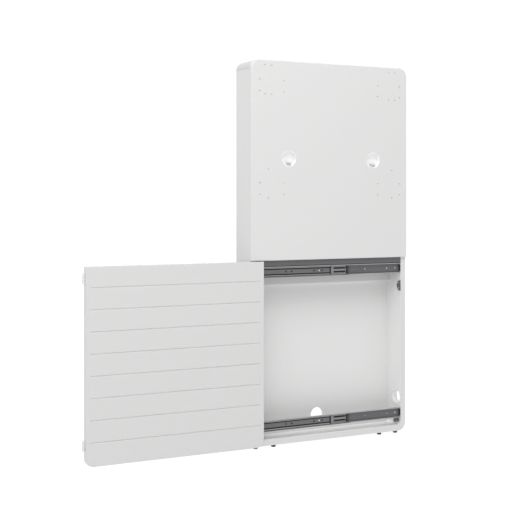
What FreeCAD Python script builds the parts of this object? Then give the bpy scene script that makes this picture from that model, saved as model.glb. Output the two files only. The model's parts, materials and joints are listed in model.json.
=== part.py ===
import FreeCAD, Part
import math
import os

os.makedirs("parts", exist_ok=True)

# A slim wall column for a baby changing station. A closed upper box carries the drilled patterns that the
# table's brackets bolt to. An open lower box holds two full-extension ball slides, and a boarded panel slides
# on them across the opening. All sizes are in mm. +X runs to the right, +Y to the wall and +Z up. The origin
# is on the floor, under the middle of the whole object with the panel slid out to the left, which is rest.

# ---- Column ----
width = 800.0
depth = 148.0
upper_height = 866.0
lower_height = 798.0
lower_setback = 11.0        # the lower box's front stands behind the upper box's front
corner_radius = 38.0
upper_wall = 18.0
lower_wall = 25.0
front_thickness = 18.0
front_rounding = 5.0
back_thickness = 8.0
back_recess = 22.0          # from the wall plane to the back panels
lower_corner_tail = 24.0    # straight end of each lower corner, which takes the outer foot

# ---- Feet ----
foot_height = 13.0
foot_radius = 11.0
foot_taper = 1.5
foot_inset = 38.0           # outer foot's centre from the column's side
foot_spacing = 88.0         # outer foot to inner foot
front_foot_setback = 27.0   # foot centre behind the lower box's front
rear_foot_setback = 23.0    # foot centre in front of the wall plane
foot_screw_depth = 18.0

# ---- Sliding panel ----
panel_thickness = 22.0
panel_gap = 1.0             # panel's back to the lower box's front
panel_side_gap = 2.5        # closed panel's edge to the column's side
panel_top_gap = 2.5
panel_bottom_height = 14.0  # panel's lower edge above the floor
panel_corner_radius = 33.0
panel_rounding = 3.0
panel_cover = 55.0          # width of opening and wall still covered when the panel is fully out
board_count = 9
board_top = 84.0            # height of the top board
board_pitch = 88.0
groove_width = 7.0
groove_depth = 3.0
groove_end = 22.0           # groove's end to the panel's edge
tab_reach = 9.0
tab_height = 43.0
tab_thickness = 12.0
tab_rounding = 3.0
tongue_length = 16.0
tongue_height = 30.0
tongue_thickness = 6.0

# ---- Ball slides ----
slide_height = 46.0
slide_depth = 12.7
slide_sheet = 1.2
cage_sheet = 0.8
slide_gap = 0.3             # between one member's web and the next
lip_setback = 0.8           # outer member's lips behind the panel's back
lip_clearance = 1.3         # outer member's lip to the middle member
middle_setback = 2.4        # middle member's front behind the panel's back
cage_front = 4.0            # cage arms' front behind the panel's back
outer_ball_radius = 1.8
inner_ball_radius = 1.4
ball_gap = 0.2              # ball to raceway
ball_pitch = 36.0
ball_end = 14.0             # first ball from the cage's end
member_end_gap = 1.0
middle_share = 0.5          # how much of the panel's travel a middle member moves
outer_cage_share = 0.25
inner_cage_share = 0.75
bumper_thickness = 4.0
bumper_height = 30.0
slide_corner = 2.2
upper_slide_gap = 3.0       # rail's front leg to the upper slide
lower_slide_gap = 35.5      # compartment's floor to the lower slide
outer_cage_start = 9.0      # outer cage's left end from the outer member's left end, panel out
outer_cage_finish = 105.0   # outer cage's right end from the outer member's right end, panel closed
inner_cage_start = 6.5
inner_cage_finish = 3.0
slide_hole_marks = (25.0, 70.0, 188.0)
middle_hole_marks = (37.5, 52.5, 78.5, 191.5, 220.5)
middle_hole_radius = 4.0
panel_screw_marks = (40.0, 210.0)
screw_radius = 1.8
screw_head_radius = 3.4
screw_head_height = 1.4
notch_clearance = 2.2

# ---- Steel rail, brackets and catch ----
rail_sheet = 2.5
rail_front_height = 24.0
rail_flange = 25.0          # the rail's top behind its long leg, which takes its bolts
rail_bolt_shares = (0.1, 0.37, 0.63, 0.9)   # the bolts' places along the rail
bracket_width = 30.0
bracket_depth = 35.0
bracket_screw_setback = 23.0
bracket_screw_spacing = 22.0
bracket_rise = 14.0         # lower bracket's foot above the compartment's floor
bracket_top_gap = 7.0       # lower bracket's top below the slide's top
catch_radius = 24.0
catch_thickness = 6.0
catch_drop = 131.0          # catch's centre below the lower box's top
catch_screw_setback = 10.0
catch_screw_spacing = 24.0
bolt_radius = 2.5
bolt_head_radius = 4.2
bolt_head_height = 3.0
bolt_bite = 13.0            # length of thread in the wood

# ---- Service holes and wall fixing ----
side_hole_radius = 30.0
side_hole_setback = 38.0    # centre behind the lower box's front
side_hole_height = 165.0
back_hole_radius = 31.0
back_hole_height = 104.0
back_hole_shift = -9.0      # centre from the middle of the column
back_rail_height = 112.0
back_rail_thickness = 18.0
wall_screw_spacing = 500.0
wall_screw_radius = 4.0
wall_screw_drop = 56.0
cleat_height = 70.0
cleat_thickness = 18.0
cleat_bevel = 14.0

# ---- Upper front: recesses and bracket patterns, down from the top and in from the side ----
cup_radius = 36.0
cup_wall = 2.0
cup_depth = 24.0
cup_inset = 183.0
cup_drop = 424.0
hook_width = 24.0
hook_height = 12.5
hook_bar = 6.5
hook_foot = 10.0            # height of the foot on the cup's floor
hook_sheet = 2.5
hook_stand = 10.0
hook_drop = 14.0            # hook's top below the cup's centre
hook_shift = 7.0            # hook's centre to the right of the cup's
hook_screw_inset = 5.0      # screw to the foot's end
hook_head_radius = 2.8
pattern_hole_radius = 2.5
wide_pattern = (99.0, 110.0, 117.5, 49.5)       # centre in, centre down, spacing across, spacing up
tall_pattern = (81.5, 85.0, 33.0, 125.0)
low_wide_pattern = (99.0, 555.0, 117.5, 49.5)
low_line_pattern = (81.5, 532.0, 0.0, 125.0)
block_thickness = 18.0
block_margin = 20.0         # wood round the outermost bracket holes
block_clearance = 2.0
insert_radius = 4.0
insert_length = 14.0

# ---- Hidden joints of the carcass ----
dowel_radius = 4.0
dowel_reach = 12.0
dowel_clearance = 0.1
dowel_edge = 26.0           # dowel to the nearest long edge
stack_edge = 52.0           # the same for the dowels between the two boxes

# ---- Worked out from the sizes above ----
panel_width = width - 2 * panel_side_gap
travel = width - panel_cover - panel_side_gap
panel_proud = panel_thickness + panel_gap - lower_setback
left = (travel + tab_reach - panel_side_gap - width) / 2
right = left + width
panel_left = left + panel_side_gap
back = (depth + panel_proud) / 2
front = back - depth
lower_front = front + lower_setback
panel_back = lower_front - panel_gap
panel_front = panel_back - panel_thickness
middle_x = (left + right) / 2
back_hole_x = middle_x + back_hole_shift
bottom = foot_height
seam = bottom + lower_height
top = seam + upper_height
back_face = back - back_recess - back_thickness
inner_left = left + lower_wall
inner_right = right - lower_wall
floor_top = bottom + lower_wall
panel_bottom = panel_bottom_height
panel_top = seam - panel_top_gap
upper_slide_z = seam - rail_front_height - upper_slide_gap - slide_height / 2
lower_slide_z = floor_top + lower_slide_gap + slide_height / 2
slide_back = panel_back + slide_depth
member_left = inner_left + member_end_gap
member_right = inner_right - bumper_thickness - member_end_gap

AXIS_X = FreeCAD.Vector(1, 0, 0)
AXIS_Y = FreeCAD.Vector(0, 1, 0)
AXIS_Z = FreeCAD.Vector(0, 0, 1)
SIDES = (("left", left, 1), ("right", right, -1))
SLIDES = (("upper", upper_slide_z), ("lower", lower_slide_z))


def block(x, y, z):
    """A box between the low and high value on each axis."""
    return Part.makeBox(x[1] - x[0], y[1] - y[0], z[1] - z[0], FreeCAD.Vector(x[0], y[0], z[0]))


def rod(x, y, z, radius, length, axis):
    """A cylinder that starts at a point and runs along an axis."""
    return Part.makeCylinder(radius, length, FreeCAD.Vector(x, y, z), axis)


def cone(x, y, z, start_radius, end_radius, length, axis):
    """A cone that starts at a point and runs along an axis."""
    return Part.makeCone(start_radius, end_radius, length, FreeCAD.Vector(x, y, z), axis)


def prism(points, sweep):
    """A solid swept from a flat outline."""
    outline = Part.makePolygon([FreeCAD.Vector(*point) for point in points + points[:1]])
    return Part.Face(outline).extrude(FreeCAD.Vector(*sweep))


def inward(side_x, sign, low, high):
    """The X range from low to high, counted in from one side of the column."""
    return tuple(sorted((side_x + sign * low, side_x + sign * high)))


def same(a, b):
    """Whether two coordinates are one."""
    return abs(a - b) < 1e-6


def edges_along(shape, axis, test):
    """The straight edges along an axis whose ends both pass a test."""
    found = []
    for edge in shape.Edges:
        ends = [vertex.Point for vertex in edge.Vertexes]
        if len(ends) == 2 and (ends[1] - ends[0]).cross(axis).Length < 1e-6:
            if all(test(point) for point in ends):
                found.append(edge)
    return found


def rounded_board(x, y, z, corner_z, radius):
    """A board in the XZ plane with the two corners at one height rounded."""
    board = block(x, y, z)
    return board.makeFillet(radius, edges_along(board, AXIS_Y, lambda point: same(point.z, corner_z)))


def round_front(board, front_y, radius):
    """Round the whole rim of a board's front face."""
    rim = [edge for edge in board.Edges if all(same(vertex.Y, front_y) for vertex in edge.Vertexes)]
    return board.makeFillet(radius, rim)


def quarter_corner(x, z, x_sign, z_sign, y, wall):
    """A quarter-round corner of the column, about its centre of curvature."""
    length = y[1] - y[0]
    ring = rod(x, y[0], z, corner_radius, length, AXIS_Y)
    ring = ring.cut(rod(x, y[0], z, corner_radius - wall, length, AXIS_Y))
    x_range = sorted((x, x + x_sign * corner_radius))
    z_range = sorted((z, z + z_sign * corner_radius))
    return ring.common(block(x_range, y, z_range))


def channel(x, y, centre_z, half_height, sheet, lip, opens_back):
    """A rolled channel along X, lipped at its mouth, with its folds rounded."""
    web_y = y[0] if opens_back else y[1]
    mouth_y = y[1] if opens_back else y[0]
    body = block(x, y, (centre_z - half_height, centre_z + half_height))
    body = body.makeFillet(slide_corner, edges_along(body, AXIS_X, lambda point: same(point.y, web_y)))
    inner_y = sorted((web_y + math.copysign(sheet, mouth_y - web_y),
                      mouth_y - math.copysign(sheet if lip else 0.0, mouth_y - web_y)))
    inner_half = half_height - sheet
    hollow = block(x, inner_y, (centre_z - inner_half, centre_z + inner_half))
    inner_web = inner_y[0] if opens_back else inner_y[1]
    folds = edges_along(hollow, AXIS_X, lambda point: same(point.y, inner_web))
    body = body.cut(hollow.makeFillet(slide_corner - sheet, folds))
    if lip:
        mouth = sorted((mouth_y, mouth_y - math.copysign(sheet, mouth_y - web_y)))
        body = body.cut(block(x, mouth, (centre_z - inner_half + lip, centre_z + inner_half - lip)))
    return body


def save(name, *shapes):
    """Write one node from one or more separate solids."""
    solids = [solid for shape in shapes for solid in shape.Solids]
    node = solids[0] if len(solids) == 1 else Part.makeCompound(solids)
    node.exportStep("parts/" + name + ".step")


def slid_out(shape, share):
    """Move a shape from its closed place to rest, by its share of the panel's travel."""
    moved = shape.copy()
    moved.translate(FreeCAD.Vector(-travel * share, 0, 0))
    return moved


# ---- Hidden dowels: each entry is a centre, an axis and the two pieces that it joins ----
def dowel_places():
    """Every dowel in the carcass."""
    places = []
    for side, side_x, sign in SIDES:
        tangent = side_x + sign * corner_radius
        tail = tangent + sign * lower_corner_tail
        for y in (front + front_thickness + dowel_edge, back - dowel_edge):
            upper = ((tangent, y, top - upper_wall / 2), AXIS_X, ("upper_top_panel", f"upper_{side}_corner"))
            wall = ((side_x + sign * upper_wall / 2, y, top - corner_radius), AXIS_Z,
                    (f"upper_{side}_side", f"upper_{side}_corner"))
            base = ((side_x + sign * upper_wall, y, seam + upper_wall / 2), AXIS_X,
                    (f"upper_{side}_side", "upper_bottom_panel"))
            places += [upper, wall, base]
        for y in (lower_front + dowel_edge, back - dowel_edge):
            lower = ((tail, y, bottom + lower_wall / 2), AXIS_X,
                     ("lower_bottom_panel", f"lower_{side}_corner"))
            wall = ((side_x + sign * lower_wall / 2, y, bottom + corner_radius), AXIS_Z,
                    (f"lower_{side}_side", f"lower_{side}_corner"))
            places += [lower, wall]
        for y in (lower_front + stack_edge, back - stack_edge):
            places.append(((side_x + sign * upper_wall / 2, y, seam), AXIS_Z,
                           (f"lower_{side}_side", f"upper_{side}_side")))
    return places


def dowel(centre, axis, extra):
    """A dowel, or the hole for it, which is larger all round by the extra."""
    reach = dowel_reach + extra
    start = FreeCAD.Vector(*centre) - axis * reach
    return rod(start.x, start.y, start.z, dowel_radius + extra, 2 * reach, axis)


# ---- Upper box ----
def upper_front_panel():
    """The drilled front with its two round recesses."""
    board = rounded_board((left, right), (front, front + front_thickness), (seam, top), top, corner_radius)
    board = round_front(board, front, front_rounding)
    holes = [rod(x, front, z, cup_radius, front_thickness, AXIS_Y) for x, z in cup_places()]
    holes += [rod(x, front, z, pattern_hole_radius, front_thickness, AXIS_Y) for x, z in bracket_holes()]
    return board.cut(Part.makeCompound(holes))


def cup_places():
    """The centres of the two recesses."""
    return [(side_x + sign * cup_inset, top - cup_drop) for _, side_x, sign in SIDES]


def pattern_points(pattern, side_x, sign):
    """The holes of one bracket pattern on one side."""
    inset, drop, across, up = pattern
    columns = (-across / 2, across / 2) if across else (0.0,)
    centre_x = side_x + sign * inset
    return [(centre_x + dx, top - drop + dz) for dx in columns for dz in (-up / 2, up / 2)]


def bracket_holes(patterns=(wide_pattern, tall_pattern, low_wide_pattern, low_line_pattern), sides=SIDES):
    """Every bracket hole of some patterns on some sides."""
    return [point for _, side_x, sign in sides for pattern in patterns
            for point in pattern_points(pattern, side_x, sign)]


def upper_side(side_x, sign):
    """One side of the upper box, up to its rounded corner."""
    return block(inward(side_x, sign, 0, upper_wall), (front + front_thickness, back),
                 (seam, top - corner_radius))


def upper_corner(side_x, sign):
    """One rounded top corner."""
    return quarter_corner(side_x + sign * corner_radius, top - corner_radius, -sign, 1,
                          (front + front_thickness, back), upper_wall)


def upper_top_panel():
    """The top, between the rounded corners."""
    return block((left + corner_radius, right - corner_radius), (front + front_thickness, back),
                 (top - upper_wall, top))


def upper_bottom_panel():
    """The bottom of the upper box, between its sides, drilled for the rail's bolts."""
    board = block((left + upper_wall, right - upper_wall), (front + front_thickness, back),
                  (seam, seam + upper_wall))
    holes = [rod(x, y, seam, bolt_radius, bolt_bite, AXIS_Z) for x, y in rail_bolt_places()]
    return board.cut(Part.makeCompound(holes))


def back_board(x, z, corner_z, radius):
    """A thin back between the walls, rounded where it meets the round corners."""
    return rounded_board(x, (back_face, back_face + back_thickness), z, corner_z, radius)


def upper_back_panel():
    """The back of the upper box."""
    return back_board((left + upper_wall, right - upper_wall), (seam + upper_wall, top - upper_wall),
                      top - upper_wall, corner_radius - upper_wall)


def wall_cleat():
    """The bevelled cleat behind the upper back, which hangs on a batten on the wall."""
    low_x = left + corner_radius
    z = top - upper_wall
    foot = z - cleat_height
    y = back_face + back_thickness
    profile = [(low_x, y, z), (low_x, y + cleat_thickness, z), (low_x, y + cleat_thickness, foot),
               (low_x, y, foot + cleat_bevel)]
    return prism(profile, (width - 2 * corner_radius, 0, 0))


def bracket_block(side_x, sign, patterns):
    """The wooden block behind one group of bracket holes."""
    points = bracket_holes(patterns, (("", side_x, sign),))
    reach = max(sign * (x - side_x) for x, _ in points) + block_margin
    low_z = min(z for _, z in points) - block_margin
    high_z = min(max(z for _, z in points) + block_margin, top - upper_wall)
    y = (front + front_thickness, front + front_thickness + block_thickness)
    wood = block(inward(side_x, sign, upper_wall, reach), y, (low_z, high_z))
    corner = block(inward(side_x, sign, 0, corner_radius + block_clearance), y,
                   (top - corner_radius - block_clearance, top))
    cups = [rod(x, y[0], z, cup_radius + block_clearance, block_thickness, AXIS_Y) for x, z in cup_places()]
    bores = [rod(x, y[0], z, insert_radius, insert_length, AXIS_Y) for x, z in points]
    return wood.cut(Part.makeCompound([corner] + cups + bores))


def bracket_inserts():
    """The threaded inserts in the blocks, at the thread's nominal size."""
    y = front + front_thickness
    return [rod(x, y, z, insert_radius, insert_length, AXIS_Y).cut(
        rod(x, y, z, pattern_hole_radius, insert_length, AXIS_Y)) for x, z in bracket_holes()]


def hanger_cup(x, z):
    """A shallow round cup, closed at the back."""
    cup = rod(x, front, z, cup_radius, cup_depth, AXIS_Y)
    hollow = rod(x, front, z, cup_radius - cup_wall, cup_depth - cup_wall, AXIS_Y)
    holes = [rod(sx, front, sz, screw_radius, cup_depth, AXIS_Y) for sx, sz in hook_screws(x, z)]
    return cup.cut(hollow).cut(Part.makeCompound(holes))


def hook_screws(x, z):
    """The two screw centres of one hook."""
    reach = hook_width / 2 - hook_screw_inset
    return [(x + hook_shift + dx, z - hook_drop - hook_foot / 2) for dx in (-reach, reach)]


def hanger_hook(x, z):
    """A bent steel hook: a bar with one leg down, and a shelf back to a foot on the cup's floor."""
    floor_y = front + cup_depth - cup_wall
    face_y = floor_y - hook_stand
    high = z - hook_drop
    ends = (x + hook_shift - hook_width / 2, x + hook_shift + hook_width / 2)
    bar = block(ends, (face_y, face_y + hook_sheet), (high - hook_bar, high))
    leg = block((ends[1] - hook_bar, ends[1]), (face_y, face_y + hook_sheet), (high - hook_height, high))
    shelf = block(ends, (face_y, floor_y), (high - hook_sheet, high))
    foot_y = floor_y - hook_sheet
    foot_plate = block(ends, (foot_y, floor_y), (high - hook_foot, high))
    hook = bar.fuse([leg, shelf, foot_plate]).removeSplitter()
    holes = [rod(sx, foot_y, sz, screw_radius, hook_sheet, AXIS_Y) for sx, sz in hook_screws(x, z)]
    return hook.cut(Part.makeCompound(holes))


def hook_screw(x, z):
    """One pan-head screw from behind the cup, through its floor into the hook's foot."""
    cup_back = front + cup_depth
    head = rod(x, cup_back, z, hook_head_radius, screw_head_height, AXIS_Y)
    shank = rod(x, cup_back, z, screw_radius, cup_wall + hook_sheet, AXIS_Y * -1)
    return head.fuse(shank)


# ---- Lower box ----
def lower_side(side_x, sign):
    """One wall of the lower box, from its rounded corner to the upper box."""
    return block(inward(side_x, sign, 0, lower_wall), (lower_front, back), (bottom + corner_radius, seam))


def slide_notch(z):
    """The notch in the left wall's front edge, where a slide's moving members pass."""
    half = middle_half_height() + notch_clearance
    return block((left, inner_left), (lower_front, slide_back + slide_gap), (z - half, z + half))


def side_hole():
    """The round service hole in the right wall."""
    return rod(inner_right, lower_front + side_hole_setback, side_hole_height, side_hole_radius,
               lower_wall, AXIS_X)


def lower_corner(side_x, sign):
    """One rounded bottom corner with its straight tail, drilled for the outer feet's screws."""
    centre_x = side_x + sign * corner_radius
    ring = quarter_corner(centre_x, bottom + corner_radius, -sign, -1, (lower_front, back), lower_wall)
    tail = block(inward(side_x, sign, corner_radius, corner_radius + lower_corner_tail),
                 (lower_front, back), (bottom, bottom + lower_wall))
    holes = [rod(x, y, bottom, screw_radius, foot_screw_depth, AXIS_Z) for x, y in foot_places()]
    return ring.fuse(tail).removeSplitter().cut(Part.makeCompound(holes))


def lower_bottom_panel():
    """The bottom, between the two corners, drilled for the inner feet's screws."""
    inset = corner_radius + lower_corner_tail
    board = block((left + inset, right - inset), (lower_front, back), (bottom, bottom + lower_wall))
    holes = [rod(x, y, bottom, screw_radius, foot_screw_depth, AXIS_Z) for x, y in foot_places()]
    return board.cut(Part.makeCompound(holes))


def wall_screw_holes():
    """The two holes for the wall screws, through the back rail and the back."""
    y = back_face - back_rail_thickness
    return [rod(middle_x + dx, y, seam - wall_screw_drop, wall_screw_radius,
                back_rail_thickness + back_thickness, AXIS_Y)
            for dx in (-wall_screw_spacing / 2, wall_screw_spacing / 2)]


def lower_back_panel():
    """The back of the lower box with its round service hole."""
    board = back_board((inner_left, inner_right), (floor_top, seam), floor_top, corner_radius - lower_wall)
    hole = rod(back_hole_x, back_face, back_hole_height, back_hole_radius, back_thickness, AXIS_Y)
    return board.cut(Part.makeCompound([hole] + wall_screw_holes()))


def lower_back_rail():
    """The fixing rail across the top of the lower back."""
    board = block((inner_left, inner_right), (back_face - back_rail_thickness, back_face),
                  (seam - back_rail_height, seam))
    return board.cut(Part.makeCompound(wall_screw_holes()))


def foot_places(rows=None):
    """The centres of the feet, on the front and rear rows or on one of them."""
    if rows is None:
        rows = (lower_front + front_foot_setback, back - rear_foot_setback)
    return [(side_x + sign * inset, y) for y in rows for _, side_x, sign in SIDES
            for inset in (foot_inset, foot_inset + foot_spacing)]


def foot(x, y):
    """A tapered foot with a counterbore for its screw."""
    body = cone(x, y, 0, foot_radius - foot_taper, foot_radius, foot_height, AXIS_Z)
    bore = rod(x, y, 0, screw_radius, foot_height, AXIS_Z)
    counterbore = rod(x, y, 0, bolt_head_radius, foot_height / 2, AXIS_Z)
    return body.cut(bore.fuse(counterbore))


def foot_screw(x, y):
    """The screw that holds one foot."""
    head = rod(x, y, foot_height / 2 - bolt_head_height, bolt_head_radius, bolt_head_height, AXIS_Z)
    shank = rod(x, y, foot_height / 2, screw_radius, foot_height / 2 + foot_screw_depth, AXIS_Z)
    return head.fuse(shank)


# ---- Steel rail, brackets, catch ----
def rail_bolt_places():
    """The bolts that hold the steel rail up to the upper box."""
    y = slide_back + rail_sheet + rail_flange / 2
    return [(inner_left + share * (inner_right - inner_left), y) for share in rail_bolt_shares]


def steel_rail():
    """A steel rail: a short front leg, a top under the upper box and a long leg behind the slide."""
    x = (inner_left, inner_right)
    leg_y = slide_back + rail_sheet
    front_leg = block(x, (lower_front, lower_front + rail_sheet), (seam - rail_front_height, seam))
    plate = block(x, (lower_front, leg_y + rail_flange), (seam - rail_sheet, seam))
    back_leg = block(x, (slide_back, leg_y), (upper_slide_z - slide_height / 2, seam))
    rail = front_leg.fuse([plate, back_leg]).removeSplitter()
    bolts = [rod(bx, by, seam - rail_sheet, bolt_radius, rail_sheet, AXIS_Z) for bx, by in rail_bolt_places()]
    screws = [rod(sx, slide_back, upper_slide_z, screw_radius, rail_sheet, AXIS_Y) for sx in outer_holes()]
    return rail.cut(Part.makeCompound(bolts + screws))


def rail_bolt(x, y):
    """One bolt up through the steel rail into the upper box."""
    head_z = seam - rail_sheet - bolt_head_height
    head = rod(x, y, head_z, bolt_head_radius, bolt_head_height, AXIS_Z)
    return head.fuse(rod(x, y, head_z, bolt_radius, bolt_head_height + rail_sheet + bolt_bite, AXIS_Z))


def end_bracket(wall_x, sign):
    """An angle bracket behind one end of the lower slide, on the side wall."""
    z = (floor_top + bracket_rise, lower_slide_z + slide_height / 2 - bracket_top_gap)
    face = block(inward(wall_x, sign, 0, bracket_width), (slide_back, slide_back + rail_sheet), z)
    ear = block(inward(wall_x, sign, 0, rail_sheet), (slide_back, slide_back + bracket_depth), z)
    bracket = face.fuse(ear).removeSplitter()
    hole_x = wall_x + sign * slide_hole_marks[0]
    holes = [rod(hole_x, slide_back, lower_slide_z, screw_radius, rail_sheet, AXIS_Y)]
    holes += [rod(x, y, hole_z, screw_radius, rail_sheet, AXIS_X)
              for x, y, hole_z in bracket_screw_places(wall_x, sign)]
    return bracket.cut(Part.makeCompound(holes))


def bracket_screw_places(wall_x, sign):
    """The low-X ends of the two screw holes in one bracket's ear."""
    x = inward(wall_x, sign, 0, rail_sheet)[0]
    y = slide_back + bracket_screw_setback
    return [(x, y, lower_slide_z + dz) for dz in (-bracket_screw_spacing / 2, bracket_screw_spacing / 2)]


def wall_screw(wall_x, sign, y, z, stack):
    """A screw from inside the compartment, through a stack on the wall and into the wall."""
    axis = AXIS_X * -sign
    head_x = wall_x + sign * (stack + screw_head_height)
    head = rod(head_x, y, z, screw_head_radius, screw_head_height, axis)
    return head.fuse(rod(head_x, y, z, screw_radius, screw_head_height + stack + bolt_bite, axis))


def catch_screw_places():
    """The two screw centres of the half-round catch."""
    z = seam - catch_drop
    return [(lower_front + catch_screw_setback, z + dz)
            for dz in (-catch_screw_spacing / 2, catch_screw_spacing / 2)]


def half_round_catch():
    """A half-round keeper on the right wall, flat along the front edge."""
    x = inner_right - catch_thickness
    z = seam - catch_drop
    disc = rod(x, lower_front, z, catch_radius, catch_thickness, AXIS_X)
    half = block((x, inner_right), (lower_front, lower_front + catch_radius),
                 (z - catch_radius, z + catch_radius))
    holes = [rod(x, sy, sz, screw_radius, catch_thickness, AXIS_X) for sy, sz in catch_screw_places()]
    return disc.common(half).cut(Part.makeCompound(holes))


def wall_fixing_screws():
    """The screws of the brackets and the catch."""
    screws = [wall_screw(inner_right, -1, y, z, catch_thickness) for y, z in catch_screw_places()]
    for wall_x, sign in ((inner_left, 1), (inner_right, -1)):
        screws += [wall_screw(wall_x, sign, y, z, rail_sheet)
                   for _, y, z in bracket_screw_places(wall_x, sign)]
    return screws


def wall_screw_bores(wall_x, sign):
    """The screw holes in one side wall."""
    places = [(y, z) for _, y, z in bracket_screw_places(wall_x, sign)]
    if sign < 0:
        places += catch_screw_places()
    return [rod(wall_x, y, z, screw_radius, bolt_bite, AXIS_X * -sign) for y, z in places]


# ---- Ball slides, in the closed place ----
def middle_half_height():
    """Half the height of a middle member, inside the outer member's balls."""
    return slide_height / 2 - slide_sheet - 2 * (outer_ball_radius + ball_gap)


def inner_half_height():
    """Half the height of an inner member, inside the middle member's balls."""
    return middle_half_height() - slide_sheet - 2 * (inner_ball_radius + ball_gap)


def outer_holes():
    """The outer member's screw holes along X."""
    marks = [inner_left + mark for mark in slide_hole_marks]
    marks += [inner_right - mark for mark in slide_hole_marks]
    return sorted(marks + [middle_x])


def sunk_screw(x, y, z, length, axis):
    """A countersunk screw whose flat head starts at the point and fills a member's web."""
    head = cone(x, y, z, screw_head_radius, screw_radius, slide_sheet, axis)
    return head.fuse(rod(x, y, z, screw_radius, length, axis))


def outer_member(z):
    """The fixed member of one slide."""
    y = (panel_back + lip_setback, slide_back)
    lip = 2 * (outer_ball_radius + ball_gap) - lip_clearance
    member = channel((inner_left, inner_right), y, z, slide_height / 2, slide_sheet, lip, False)
    web_y = slide_back - slide_sheet
    holes = [sunk_screw(x, web_y, z, slide_sheet, AXIS_Y) for x in outer_holes()]
    return member.cut(Part.makeCompound(holes))


def outer_cage_web_back():
    """The back of the outer cage's web."""
    return slide_back - slide_sheet - slide_gap


def middle_web_back():
    """The back of the middle member's web."""
    return outer_cage_web_back() - cage_sheet - slide_gap


def inner_cage_web_back():
    """The back of the inner cage's web."""
    return middle_web_back() - slide_sheet - slide_gap


def middle_member(z):
    """The middle member of one slide, with its access holes."""
    y = (panel_back + middle_setback, middle_web_back())
    lip = inner_ball_radius
    member = channel((member_left, member_right), y, z, middle_half_height(), slide_sheet, lip, False)
    holes = [rod(member_right - mark, y[0], z, middle_hole_radius, y[1] - y[0], AXIS_Y)
             for mark in middle_hole_marks]
    return member.cut(Part.makeCompound(holes))


def panel_screw_xs():
    """The screws that hold an inner member to the panel."""
    centre = (member_left + member_right) / 2
    marks = [member_left + mark for mark in panel_screw_marks]
    return marks + [centre] + [member_right - mark for mark in panel_screw_marks]


def inner_member(z):
    """The member of one slide that is screwed to the panel's back."""
    y = (panel_back, inner_cage_web_back() - cage_sheet - slide_gap)
    member = channel((member_left, member_right), y, z, inner_half_height(), slide_sheet, 0.0, True)
    holes = [rod(x, panel_back, z, screw_radius, slide_sheet, AXIS_Y) for x in panel_screw_xs()]
    return member.cut(Part.makeCompound(holes))


def cage_and_balls(low_x, high_x, web_back, arm_centre, ball_radius, z):
    """A ball cage and its balls. The cage is a thin channel whose two arms hold the balls."""
    y = (panel_back + cage_front, web_back)
    half = arm_centre + cage_sheet / 2
    body = block((low_x, high_x), y, (z - half, z + half))
    inner = half - cage_sheet
    body = body.cut(block((low_x, high_x), (y[0], y[1] - cage_sheet), (z - inner, z + inner)))
    ball_y = y[0] + ball_radius + 2 * ball_gap
    count = int((high_x - low_x - 2 * ball_end) // ball_pitch) + 1
    start = (low_x + high_x) / 2 - (count - 1) * ball_pitch / 2
    centres = [FreeCAD.Vector(start + index * ball_pitch, ball_y, z + side * arm_centre)
               for index in range(count) for side in (-1, 1)]
    bores = [rod(c.x, c.y, c.z - cage_sheet, ball_radius + ball_gap, 2 * cage_sheet, AXIS_Z) for c in centres]
    balls = [Part.makeSphere(ball_radius, centre) for centre in centres]
    return body.cut(Part.makeCompound(bores)), balls


def outer_cage(z):
    """The cage and balls between the outer and middle members."""
    low_x = inner_left + outer_cage_start + travel * outer_cage_share
    high_x = inner_right - outer_cage_finish
    arm = middle_half_height() + outer_ball_radius + ball_gap
    return cage_and_balls(low_x, high_x, outer_cage_web_back(), arm, outer_ball_radius, z)


def inner_cage(z):
    """The cage and balls between the middle and inner members."""
    low_x = member_left + inner_cage_start + travel * (inner_cage_share - middle_share)
    high_x = member_right - inner_cage_finish - travel * (1 - inner_cage_share)
    arm = inner_half_height() + inner_ball_radius + ball_gap
    return cage_and_balls(low_x, high_x, inner_cage_web_back(), arm, inner_ball_radius, z)


def slide_bumper(z):
    """The rubber stop at the right end of one outer member."""
    return block((inner_right - bumper_thickness, inner_right),
                 (panel_back + middle_setback, slide_back - slide_sheet),
                 (z - bumper_height / 2, z + bumper_height / 2))


def slide_screws():
    """The screws that hold the outer members: all along the rail above, at the two ends below."""
    web_y = slide_back - slide_sheet
    length = slide_sheet + 2 * rail_sheet
    ends = (outer_holes()[0], outer_holes()[-1])
    return ([sunk_screw(x, web_y, upper_slide_z, length, AXIS_Y) for x in outer_holes()]
            + [sunk_screw(x, web_y, lower_slide_z, length, AXIS_Y) for x in ends])


# ---- Sliding panel, in the closed place ----
def groove(z):
    """One stopped V groove between two boards, cut past the panel's face."""
    over = 1.0
    mouth = groove_width / 2 * (groove_depth + over) / groove_depth
    ends = (panel_left + groove_end, panel_left + panel_width - groove_end)
    low_y = panel_front - over
    section = [(ends[0], low_y, z - mouth), (ends[0], panel_front + groove_depth, z),
               (ends[0], low_y, z + mouth)]
    run = prism(section, (ends[1] - ends[0], 0, 0))
    tips = [cone(x, low_y, z, mouth, 0, groove_depth + over, AXIS_Y) for x in ends]
    return run.fuse(tips)


def tab(z, extra):
    """One end tab with its tongue, or the pocket for the tongue, which is larger by the extra."""
    y = (panel_back - tab_thickness, panel_back)
    centre_y = (y[0] + y[1]) / 2
    half_y = tongue_thickness / 2 + extra
    half_z = tongue_height / 2 + extra
    tongue = block((panel_left, panel_left + tongue_length + extra), (centre_y - half_y, centre_y + half_y),
                   (z - half_z, z + half_z))
    if extra:
        return tongue
    head = block((panel_left - tab_reach, panel_left), y, (z - tab_height / 2, z + tab_height / 2))
    rim = edges_along(head, AXIS_Y, lambda point: same(point.x, panel_left - tab_reach))
    return head.makeFillet(tab_rounding, rim).fuse(tongue).removeSplitter()


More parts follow.
